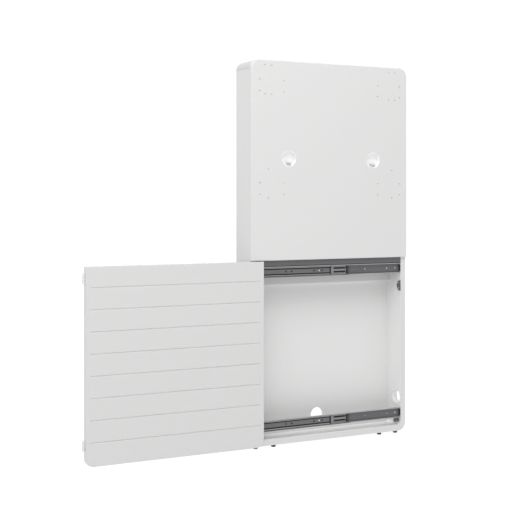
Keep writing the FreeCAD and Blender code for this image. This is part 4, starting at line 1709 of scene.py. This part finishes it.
# ---- Steelwork ----
@dataclass(frozen=True)
class Steelwork(Assembly):
    """The rail over the upper slide, the brackets behind the lower one, the catch and their screws."""

    coat: PowderCoat
    plastic: MouldedPlastic
    steel: PlatedSteel
    sheet: float = 2.5
    bend: float = 3.2
    rail_front: float = 24.0
    bolt_shares: tuple[float, ...] = (0.1, 0.37, 0.63, 0.9)
    catch_rim: float = 2.6
    catch_dish: float = 0.7
    catch_screw: tuple[float, float] = (10.0, 12.0)
    bracket_screw: tuple[float, float] = (23.0, 11.0)

    def build(self) -> None:
        """Make all of it."""
        self.rail()
        self.rail_bolts()
        for side in SIDES:
            self.bracket(side)
        self.catch()
        self.wall_screws()

    def rail(self) -> None:
        """The rail: a short front leg, a flat top and a long leg behind the slide."""
        low, high = self.span("steel_top_rail")
        leg = self.span("upper_slide_outer")[1].y
        front_foot = high.z - self.rail_front
        under = high.z - self.sheet
        small = self.bend - self.sheet
        outline = filleted([
            (low.y, front_foot, 0.5), (low.y, high.z, self.bend), (high.y, high.z, 0.5), (high.y, under, 0.5),
            (leg + self.sheet, under, 1.2), (leg + self.sheet, low.z, 0.5), (leg, low.z, 0.5),
            (leg, under, 1.2), (low.y + self.sheet, under, small), (low.y + self.sheet, front_foot, 0.5)])
        made = slab("rail", outline, (low.x, high.x), (0.3, 0.3), along_x)
        self.bench.hand_over("folded_steel_rail", made, "steel_top_rail", self.coat)

    def rail_bolts(self) -> None:
        """The bolts up through the rail."""
        low, high = self.span("rail_bolts")
        rail_low, rail_high = self.span("steel_top_rail")
        bearing = rail_high.z - self.sheet
        places = [Vector((rail_low.x + share * (rail_high.x - rail_low.x), (low.y + high.y) / 2, bearing))
                  for share in self.bolt_shares]
        bolt = HexBolt(across=7.2, head_height=bearing - low.z, shank_radius=2.4, shank_length=15.0)
        made = self.bench.at_points(bolt.template(Axis.DOWN), places)
        self.bench.hand_over("rail_hex_bolts", made, "rail_bolts", self.steel)

    def bracket(self, side: str) -> None:
        """One angle bracket: a face behind the slide and an ear on the wall.

        Args:
            side: Left or right.
        """
        low, high = self.span(f"slide_end_bracket_{side}")
        wall, tip, sign = (low.x, high.x, 1) if side == "left" else (high.x, low.x, -1)
        inner = wall + sign * self.sheet
        outline = filleted([
            (tip, low.y, 0.5), (wall, low.y, self.bend), (wall, high.y, 0.5), (inner, high.y, 0.5),
            (inner, low.y + self.sheet, self.bend - self.sheet), (tip, low.y + self.sheet, 0.5)])
        made = slab("bracket", outline, (low.z, high.z), (0.3, 0.3), along_z)
        self.bench.hand_over(f"angle_bracket_{side}", made, f"slide_end_bracket_{side}", self.coat)

    def catch(self) -> None:
        """The half-round keeper, with a raised rim and a flat along the wall's front edge."""
        low, high = self.span("half_round_catch")
        radius, rim = high.y - low.y, self.catch_rim
        z = (low.z + high.z) / 2
        outline = shaped(arc((low.y, z), radius, -90, 90, 32))
        made = slab("catch", outline, (low.x, high.x), (1.1, 0.2), along_x, 5)
        field_outline = shaped(arc((low.y + rim, z), radius - 2 * rim - 0.2, -90, 90, 24))
        dish = slab("dish", field_outline, (low.x - 1.0, low.x + self.catch_dish), (0.01, 0.5), along_x, 3)
        self.bench.hand_over("half_round_keeper", carved(made, [dish]), "half_round_catch", self.plastic)

    def wall_screws(self) -> None:
        """The screws of the brackets and the catch, with their heads inside the compartment."""
        low, high = self.span("half_round_catch")
        inset_y, reach = self.catch_screw
        catch_row = [Vector((low.x, low.y + inset_y, (low.z + high.z) / 2 + dz)) for dz in (-reach, reach)]
        slide_low, slide_high = self.span("lower_slide_outer")
        slide_z = (slide_low.z + slide_high.z) / 2
        screw = Screw(head_radius=3.4, head_height=1.4, shank_radius=1.8, shank_length=13.0)
        inset_y, reach = self.bracket_screw
        parts = []
        for side, direction in zip(SIDES, (Axis.TO_RIGHT, Axis.TO_LEFT)):
            low, high = self.span(f"slide_end_bracket_{side}")
            x = low.x + self.sheet if side == "left" else high.x - self.sheet
            row = [Vector((x, low.y + inset_y, slide_z + dz)) for dz in (-reach, reach)]
            if side == "right":
                row += catch_row
            parts.append(self.bench.at_points(screw.template(direction), row))
        self.bench.hand_over("compartment_screws", joined("screws", parts), "wall_fixing_screws", self.steel)


# ---- Ball slides ----
SLIDE_SHEET = 1.2


def screw_row(low: Vector, high: Vector, marks: Sequence[float], centre: bool = True) -> list[float]:
    """Where a slide member's screws are along it: at marks from both ends, and at its middle.

    Args:
        low: The member's lowest corner.
        high: Its highest corner.
        marks: Distances from each end.
        centre: Whether it has one at its middle.

    Returns:
        The places along X.
    """
    ends = [low.x + mark for mark in marks] + [high.x - mark for mark in marks]
    return ends + ([(low.x + high.x) / 2] if centre else [])


@dataclass(frozen=True)
class BallSlide(Assembly):
    """One full-extension slide: three rolled members, two ball cages, their balls and a stop."""

    level: str
    rolled: RolledSteel
    cage_finish: PressedCage
    ball_finish: PlatedSteel
    rubber: MouldedRubber
    fold: float = 2.2
    web_step: float = 0.45
    outer_lip: float = 2.7
    middle_lip: float = 1.4
    cage_sheet: float = 0.8
    ball_pitch: float = 36.0
    outer_marks: tuple[float, ...] = (25.0, 70.0, 188.0)
    access_marks: tuple[float, ...] = (37.5, 52.5, 78.5, 191.5, 220.5)
    glint_mark: float = 52.5
    access_radius: float = 4.0
    rib_start: float = 27.0
    rib_pitch: float = 3.2
    ribs: int = 8
    bare_end: float = 9.0
    stop_groove_pitch: float = 5.0

    def build(self) -> None:
        """Make the whole slide."""
        self.outer()
        self.middle()
        self.inner()
        self.cage("outer", 1.8)
        self.cage("inner", 1.4)
        self.bumper()

    def height(self) -> float:
        """The slide's centre height."""
        low, high = self.span(f"{self.level}_slide_outer")
        return (low.z + high.z) / 2

    def section(self, mouth: float, web: float, half: float, lip: float) -> Outline:
        """A rolled member's section, with a raised band along its web.

        Args:
            mouth: Y of the open side.
            web: Y of the closed side's outer face.
            half: Half the member's height.
            lip: How far the mouth's edges turn in.

        Returns:
            The outline in Y and Z.
        """
        way = math.copysign(1.0, web - mouth)
        inner_web, inner_half, band = web - way * SLIDE_SHEET, half - SLIDE_SHEET, half * 0.52
        raised = inner_web + way * self.web_step
        rise = [(inner_web, band + 1.0, 0.2), (inner_web, inner_half, self.fold - SLIDE_SHEET)]
        if lip:
            hem = mouth + way * SLIDE_SHEET
            rise += [(hem, inner_half, 0.5), (hem, inner_half - lip, 0.5), (mouth, inner_half - lip, 0.5)]
        else:
            rise += [(mouth, inner_half, 0.5)]
        fall = [(y, -up, radius) for y, up, radius in reversed(rise)]
        mouth_fold = 1.4 if lip else 0.5
        corners = [(mouth, half, mouth_fold), (web, half, self.fold), (web, -half, self.fold),
                   (mouth, -half, mouth_fold), *fall, (raised, -band, 0.2), (raised, band, 0.2), *rise]
        return filleted([(y, self.height() + up, radius) for y, up, radius in corners], 4)

    def member(self, node: str, lip: float, web_at_back: bool) -> bpy.types.Object:
        """A whole rolled member along X.

        Args:
            node: The member's node.
            lip: How far its mouth's edges turn in.
            web_at_back: Whether it opens to the front.

        Returns:
            The member.
        """
        low, high = self.span(node)
        mouth, web = (low.y, high.y) if web_at_back else (high.y, low.y)
        outline = self.section(mouth, web, (high.z - low.z) / 2, lip)
        return slab(node, outline, (low.x, high.x), (0.15, 0.15), along_x, 2)

    def outer(self) -> None:
        """The fixed member, with its screw holes."""
        node = f"{self.level}_slide_outer"
        low, high = self.span(node)
        places = [Vector((x, high.y - SLIDE_SHEET, self.height()))
                  for x in sorted(screw_row(low, high, self.outer_marks))]
        made = self.bench.drilled(self.member(node, self.outer_lip, True), countersink(3.4, 1.8, SLIDE_SHEET),
                                  places)
        _, cage_high = self.span(f"{self.level}_outer_ball_cage")
        # Painted shade: the web is greasy black up to the cage's end, where the middle member covers it, and
        # the lower lip is black there as a painted shadow.
        finish = replace(self.rolled, middle=self.height() / MM, groove=(0.0, 0.0175),
                         grease_and_shade_end=cage_high.x / MM + 0.002, grease_and_shade_fade=0.03, low_lip_shadow=0.9)
        self.bench.hand_over(f"{self.level}_fixed_member", made, node, finish)

    def middle(self) -> None:
        """The middle member, with access holes and a ribbed grip near its end."""
        node = f"{self.level}_slide_middle"
        low, high = self.span(node)
        face = high.y - SLIDE_SHEET
        places = [Vector((high.x - mark, face - 2.0, self.height())) for mark in self.access_marks]
        hole = bore(self.access_radius, 6.0, 0.5, Axis.TO_WALL, ORIGIN, 36)
        made = self.bench.drilled(self.member(node, self.middle_lip, True), hole, places)
        rib = slab("rib", rectangle((-0.5, -9.0), (0.5, 9.0), (0.45,) * 4, 3), (-0.5, 0.52), (0.01, 0.2),
                   along_y, 2)
        start = Vector((high.x - self.rib_start, face, self.height()))
        made = self.bench.row_of_cuts(made, rib, self.ribs, start, Vector((self.rib_pitch, 0.0, 0.0)))
        half = (high.z - low.z) / 2
        # Painted shade: the band by each lip is greasy black with painted shade along the whole member.
        finish = replace(self.rolled, middle=self.height() / MM, half=half / MM, lip=0.0028,
                         light=(0.24, 0.24, 0.25), groove=(half * 0.50 / MM, (half - 2.8) / MM),
                         grease_and_shade_end=high.x / MM)
        self.bench.hand_over(f"{self.level}_middle_member", made, node, finish)

    def inner(self) -> None:
        """The member on the panel."""
        node = f"{self.level}_slide_inner"
        low, high = self.span(node)
        finish = replace(self.rolled, middle=self.height() / MM, half=(high.z - low.z) / 2 / MM)
        self.bench.hand_over(f"{self.level}_panel_member", self.member(node, 0.0, False), node, finish)

    def cage(self, stage: str, radius: float) -> None:
        """One pressed cage, with slots in its web and a seat for each ball, and its balls.

        Args:
            stage: Outer or inner.
            radius: The balls' radius.
        """
        node = f"{self.level}_{stage}_ball_cage"
        low, high = self.span(node)
        z, sheet = self.height(), self.cage_sheet
        half = (high.z - low.z) / 2
        outline = filleted([
            (low.y, z + half, 0.3), (high.y, z + half, 1.4), (high.y, z - half, 1.4), (low.y, z - half, 0.3),
            (low.y, z - half + sheet, 0.3), (high.y - sheet, z - half + sheet, 0.6),
            (high.y - sheet, z + half - sheet, 0.6), (low.y, z + half - sheet, 0.3)], 4)
        made = slab("cage", outline, (low.x, high.x), (0.1, 0.1), along_x, 2)
        balls_low, balls_high = self.span(f"{self.level}_{stage}_balls")
        count = round((balls_high.x - balls_low.x - 2 * radius) / self.ball_pitch) + 1
        first = Vector((balls_low.x + radius, (balls_low.y + balls_high.y) / 2, z))
        reach, loose = half + 1.0, radius + 0.2
        seat = turned("seat", [(0.0, -reach), (loose, -reach), (loose, reach), (0.0, reach)], standing, 24)
        made = self.bench.row_of_cuts(made, seat, count, first, Vector((self.ball_pitch, 0.0, 0.0)))
        slots = [slab("slot", shaped(capsule(high.x - 60.0, high.x - 5.0, z + height, half * 0.19)),
                      (high.y - sheet - 1.0, high.y + 1.0), (0.01, 0.01), along_y, 1)
                 for height in (-half * 0.40, half * 0.40)]
        made = carved(made, slots)
        _, middle_high = self.span(f"{self.level}_slide_middle")
        # Painted shade: the cage is greasy black where the middle member covers it, with a painted highlight
        # behind one access hole.
        end = middle_high.x + self.bare_end if stage == "outer" else high.x
        finish = replace(self.cage_finish, grease_and_shade_end=end / MM,
                         glint=((middle_high.x - self.glint_mark) / MM, z / MM))
        self.bench.hand_over(f"{self.level}_{stage}_pressed_cage", made, node, finish)
        arm = balls_high.z - radius - z
        self.balls(stage, radius, count, first - Vector((0.0, 0.0, arm)), Vector((0.0, 0.0, 2 * arm)))

    def balls(self, stage: str, radius: float, count: int, start: Vector, other: Vector) -> None:
        """Two rows of balls.

        Args:
            stage: Outer or inner.
            radius: The balls' radius.
            count: How many are in a row.
            start: The first ball of the lower row.
            other: From the lower row to the upper one.
        """
        shape = bmesh.new()
        bmesh.ops.create_icosphere(shape, subdivisions=2, radius=radius)
        ball = from_bmesh("ball", shape)
        made = self.bench.rows.run(point_mesh([]), {
            "Shape": ball, "Count": count, "Start": start, "Step": Vector((self.ball_pitch, 0.0, 0.0)),
            "Other row": other})
        discard(ball)
        self.bench.hand_over(f"{self.level}_{stage}_steel_balls", made, f"{self.level}_{stage}_balls",
                             self.ball_finish)

    def bumper(self) -> None:
        """The rubber stop, with grooves across its face."""
        node = f"{self.level}_slide_bumper"
        low, high = self.span(node)
        outline = rectangle((low.y, low.z), (high.y, high.z), (1.0,) * 4, 4)
        made = slab("bumper", outline, (low.x, high.x), (0.8, 0.1), along_x, 3)
        groove = slab("groove", rectangle((-0.4, -0.6), (0.6, 0.6), (0.3,) * 4, 3),
                      (low.y - 1, high.y + 1), (0.01, 0.01), along_y, 1)
        pitch = self.stop_groove_pitch
        made = self.bench.row_of_cuts(made, groove, 5, Vector((low.x, 0.0, low.z + pitch)),
                                      Vector((0.0, 0.0, pitch)))
        self.bench.hand_over(f"{self.level}_rubber_stop", made, node, self.rubber)


def countersink(mouth: float, hole: float, deep: float) -> bpy.types.Object:
    """A cutter for a countersunk hole, from the web's front at the origin.

    Args:
        mouth: The mouth's radius.
        hole: The hole's radius.
        deep: How deep the cone goes.

    Returns:
        The cutter.
    """
    profile = [(0.0, -1.0), (mouth + 0.1, -1.0), (mouth + 0.1, 0.0), (hole + 0.1, deep),
               (hole + 0.1, deep + 1.0), (0.0, deep + 1.0)]
    return turned("countersink", profile, facing(Axis.TO_WALL, ORIGIN), 32)


@dataclass(frozen=True)
class SlideScrews(Assembly):
    """The sunk screws of the fixed members and the pan-head screws of the panel's members."""

    steel: PlatedSteel
    marks: tuple[float, ...] = BallSlide.outer_marks
    panel_marks: tuple[float, ...] = (40.0, 210.0)

    def build(self) -> None:
        """Make both sets."""
        places = []
        for level, marks in (("upper", self.marks), ("lower", self.marks[:1])):
            low, high = self.span(f"{level}_slide_outer")
            places += [Vector((x, high.y - SLIDE_SHEET, (low.z + high.z) / 2))
                       for x in screw_row(low, high, marks, level == "upper")]
        screw = Screw(head_radius=3.4, head_height=1.2, shank_radius=1.8, shank_length=6.2, sunk=True)
        made = self.bench.at_points(screw.template(Axis.TO_ROOM), places)
        self.bench.hand_over("fixed_member_screws", made, "slide_screws", self.steel)
        places = []
        for level in LEVELS:
            low, high = self.span(f"{level}_slide_inner")
            places += [Vector((x, low.y + SLIDE_SHEET, (low.z + high.z) / 2))
                       for x in screw_row(low, high, self.panel_marks)]
        screw = Screw(head_radius=3.4, head_height=1.4, shank_radius=1.8, shank_length=14.0)
        made = self.bench.at_points(screw.template(Axis.TO_WALL), places)
        self.bench.hand_over("panel_member_screws", made, "panel_screws", self.steel)


# ---- Sliding panel ----
@dataclass(frozen=True)
class SlidingPanel(Assembly):
    """The boarded panel and its two end tabs."""

    paint: Lacquer
    plastic: MouldedPlastic
    corner_radius: float = 33.0
    rounding: float = 3.0
    grooves: int = 8
    board_top: float = 84.0
    pitch: float = 88.0
    groove_width: float = 7.0
    groove_depth: float = 3.0
    groove_end: float = 22.0
    tab_height: float = 43.0
    tab_thickness: float = 12.0
    grip_inset: float = 3.0
    grip_pitch: float = 2.6

    def build(self) -> None:
        """Make the panel and the tabs."""
        low, high = self.span("sliding_panel")
        outline = rectangle((low.x, low.z), (high.x, high.z),
                            (self.corner_radius, self.corner_radius, 0.6, 0.6), 18)
        made = slab("panel", outline, (low.y, high.y), (self.rounding, 0.8), steps=6)
        cutter = self.groove_cutter(low.x + self.groove_end, high.x - self.groove_end)
        start = Vector((0.0, low.y, high.z - self.board_top))
        made = self.bench.row_of_cuts(made, cutter, self.grooves, start, Vector((0.0, 0.0, -self.pitch)))
        self.bench.hand_over("grooved_panel", made, "sliding_panel", self.paint)
        self.tabs(low.x)

    def groove_cutter(self, left: float, right: float) -> bpy.types.Object:
        """A cutter for one stopped V groove with eased lips.

        Args:
            left: Centre of its left end.
            right: Centre of its right end.

        Returns:
            The cutter, about the panel's face at the origin.
        """
        half, deep, lip = self.groove_width / 2, self.groove_depth, 0.35
        levels = ((-1.0, half + 2 * lip), (0.0, half + lip), (0.12, half), (lip, half - lip),
                  (deep - 0.25, 0.4), (deep, 0.12))
        return loft("groove", [[Vector((u, depth, v)) for u, v in capsule(left, right, 0.0, width)]
                               for depth, width in levels])

    def tabs(self, panel_edge: float) -> None:
        """The end tabs, each with two grip grooves.

        Args:
            panel_edge: Where the panel's left edge is.
        """
        low, high = self.span("panel_end_tabs")
        half, front = self.tab_height / 2, high.y - self.tab_thickness
        parts = []
        for middle in (low.z + half, high.z - half):
            outline = rectangle((low.x, middle - half), (panel_edge, middle + half), (3.0, 0.3, 0.3, 3.0), 8)
            made = slab("tab", outline, (front, high.y), (1.2, 0.8), along_y, 5)
            groove = slab("groove", rectangle((-0.5, -14.0), (0.5, 14.0), (0.45,) * 4, 4), (-1.0, 0.5),
                          (0.01, 0.3), along_y, 2)
            start = Vector((low.x + self.grip_inset, front, middle))
            parts.append(self.bench.row_of_cuts(made, groove, 2, start, Vector((self.grip_pitch, 0.0, 0.0))))
        self.bench.hand_over("panel_edge_tabs", joined("tabs", parts), "panel_end_tabs", self.plastic)


# ---- Hidden woodwork ----
@dataclass(frozen=True)
class HiddenParts(Assembly):
    """The cleat, and the parts that stay as they were designed and only get their finish."""

    wood: BareWood
    steel: PlatedSteel
    cleat_bevel: float = 14.0

    def build(self) -> None:
        """Make the cleat and dress the rest."""
        low, high = self.span("wall_cleat")
        outline = filleted([(low.y, high.z, 0.6), (high.y, high.z, 0.6), (high.y, low.z, 0.6),
                            (low.y, low.z + self.cleat_bevel, 0.6)], 3)
        made = slab("cleat", outline, (low.x, high.x), (0.5, 0.5), along_x)
        self.bench.hand_over("bevelled_cleat", made, "wall_cleat", self.wood)
        blocks = [f"{level}_bracket_block_{side}" for level in LEVELS for side in SIDES]
        for node in ("carcass_dowels", *blocks):
            self.dress(node, self.wood)
        self.dress("bracket_inserts", self.steel)

    def dress(self, node: str, finish: object) -> None:
        """Give a node that stays its finish.

        Args:
            node: The node.
            finish: The finish.
        """
        shown = frame["nodes"][node]
        shown.data.materials.clear()
        shown.data.materials.append(painted(finish, node, shown))


# ---- Studio ----
def staged(name: str, data: bpy.types.ID, place: Sequence[float], way: Vector) -> bpy.types.Object:
    """A lamp or a camera at a place, looking one way.

    Args:
        name: The object's name.
        data: The lamp or camera.
        place: Where it is.
        way: Where it looks.

    Returns:
        The object.
    """
    made = linked(name, data)
    made.location = place
    made.rotation_mode = "QUATERNION"
    made.rotation_quaternion = way.to_track_quat("-Z", "Y")
    return made


@dataclass(frozen=True)
class Studio:
    """The plain floor, the soft light and the camera; places are in metres and the turn in degrees."""

    camera_place: tuple[float, float, float] = (-2.1185, -4.209, 1.0735)
    turn: float = 27.0
    lens: float = 76.7
    drop: float = -0.108
    aim: tuple[float, float, float] = (0.1, 0.0, 0.85)
    front_sky: float = 0.60
    back_sky: float = 1.02
    sky_reach: float = 0.6
    floor_size: float = 30.0
    floor_gap: float = 0.0005
    floor_glow: float = 0.85

    def build(self) -> None:
        """Set up the whole studio."""
        bpy.context.scene.view_settings.view_transform = "Standard"
        self.floor()
        self.world()
        self.lamp("key", (-1.9, -2.4, 3.9), 3.0, 62.0)
        self.lamp("top", (-0.4, -3.0, 6.6), 4.0, 160.0)
        self.camera()

    def floor(self) -> None:
        """A plain pale floor."""
        shape = bmesh.new()
        bmesh.ops.create_grid(shape, x_segments=8, y_segments=8, size=self.floor_size / 2)
        made = from_bmesh("floor", shape)
        shader = Shader("pale_floor")
        cloud = shader.noise(3.0)
        shader.put(shader.surface.inputs["Base Color"], shader.mixed((0.24,) * 3, (0.26,) * 3, cloud))
        shader.put(shader.surface.inputs["Roughness"], 0.85 + cloud * 0.05)
        shader.constants(Emission_Color=(1.0, 1.0, 1.0, 1.0), Emission_Strength=self.floor_glow,
                         Specular_IOR_Level=0.1)
        made.data.materials.append(shader.material)
        made.location.z = -self.floor_gap

    def world(self) -> None:
        """A pale sky, white behind the cabinet and softer in front of it."""
        world = bpy.data.worlds.new("studio")
        world.use_nodes = True
        sky = NodeTree(world.node_tree)
        parts = sky.node("ShaderNodeSeparateXYZ", None,
                         {"Vector": sky.node("ShaderNodeTexCoord").outputs["Generated"]})
        fade = sky.node("ShaderNodeMapRange", None,
                        {"Value": parts.outputs[1], "From Min": 0.0, "From Max": self.sky_reach,
                         "To Min": self.front_sky, "To Max": self.back_sky})
        background = world.node_tree.nodes["Background"]
        sky.put(background.inputs["Color"], (1.0, 1.0, 1.0, 1.0))
        sky.put(background.inputs["Strength"], fade.outputs["Result"])
        bpy.context.scene.world = world

    def lamp(self, name: str, place: tuple[float, float, float], size: float, power: float) -> None:
        """A large soft lamp aimed at the cabinet's middle.

        Args:
            name: The lamp's name.
            place: Where it is.
            size: Its side's length, in metres.
            power: Its power in watts.
        """
        data = bpy.data.lights.new(name, "AREA")
        data.size = size
        data.energy = power
        staged(name, data, place, Vector(self.aim) - Vector(place))

    def camera(self) -> None:
        """The level camera, to the left of the cabinet's middle."""
        data = bpy.data.cameras.new("camera")
        data.lens = self.lens
        data.sensor_width = 36.0
        data.shift_y = self.drop
        data.clip_end = 100.0
        angle = math.radians(self.turn)
        way = Vector((math.sin(angle), math.cos(angle), 0.0))
        bpy.context.scene.camera = staged("camera", data, self.camera_place, way)


def lower_shell(cabinet: Frame) -> tuple[float, float, float, float]:
    """The lower box's left, right, bottom and top in metres, with its square top raised out of the way.

    Args:
        cabinet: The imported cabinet.

    Returns:
        Left, right, bottom and top.
    """
    left, _ = cabinet.span("lower_left_side")
    _, right = cabinet.span("lower_right_side")
    foot, _ = cabinet.span("lower_bottom_panel")
    return left.x / MM, right.x / MM, foot.z / MM, right.z / MM + 0.2


def main() -> None:
    """Build the cabinet and its studio."""
    logging.basicConfig(level=logging.INFO)
    bench = Bench(Frame(frame["record"]))
    paint = Lacquer()
    panel_paint = Lacquer(colour=(0.605, 0.605, 0.602))
    # Painted light: the lower box's inside is lighter than its outer skin and front strip, for the light that
    # reaches into the compartment.
    inner_paint_with_painted_light = Lacquer(colour=(0.80, 0.80, 0.797), outside_factor=0.78, shell=lower_shell(bench.frame))
    back = BackBoard()
    white_plastic = MouldedPlastic(colour=(0.74, 0.74, 0.738))
    cup_plastic = MouldedPlastic(colour=(0.90, 0.90, 0.898))
    dark_plastic = MouldedPlastic(colour=(0.11, 0.11, 0.115), roughness=0.45)
    zinc = PlatedSteel()
    brushed = PlatedSteel(colour=(0.60, 0.60, 0.60), bloom=(0.50, 0.50, 0.49), roughness=0.5, metallic=0.25)
    chrome = PlatedSteel(colour=(0.66, 0.66, 0.67), bloom=(0.58, 0.58, 0.58), roughness=0.14)
    rubber = MouldedRubber()

    UpperBox(bench, paint, back, cup_plastic, brushed).build()
    LowerBox(bench, inner_paint_with_painted_light, back, rubber, zinc).build()
    Steelwork(bench, PowderCoat(), dark_plastic, zinc).build()
    for level in LEVELS:
        BallSlide(bench, level, RolledSteel(), PressedCage(), chrome, rubber).build()
    SlideScrews(bench, zinc).build()
    SlidingPanel(bench, panel_paint, white_plastic).build()
    HiddenParts(bench, BareWood(), zinc).build()
    Studio().build()


if __name__ == "__main__":
    main()
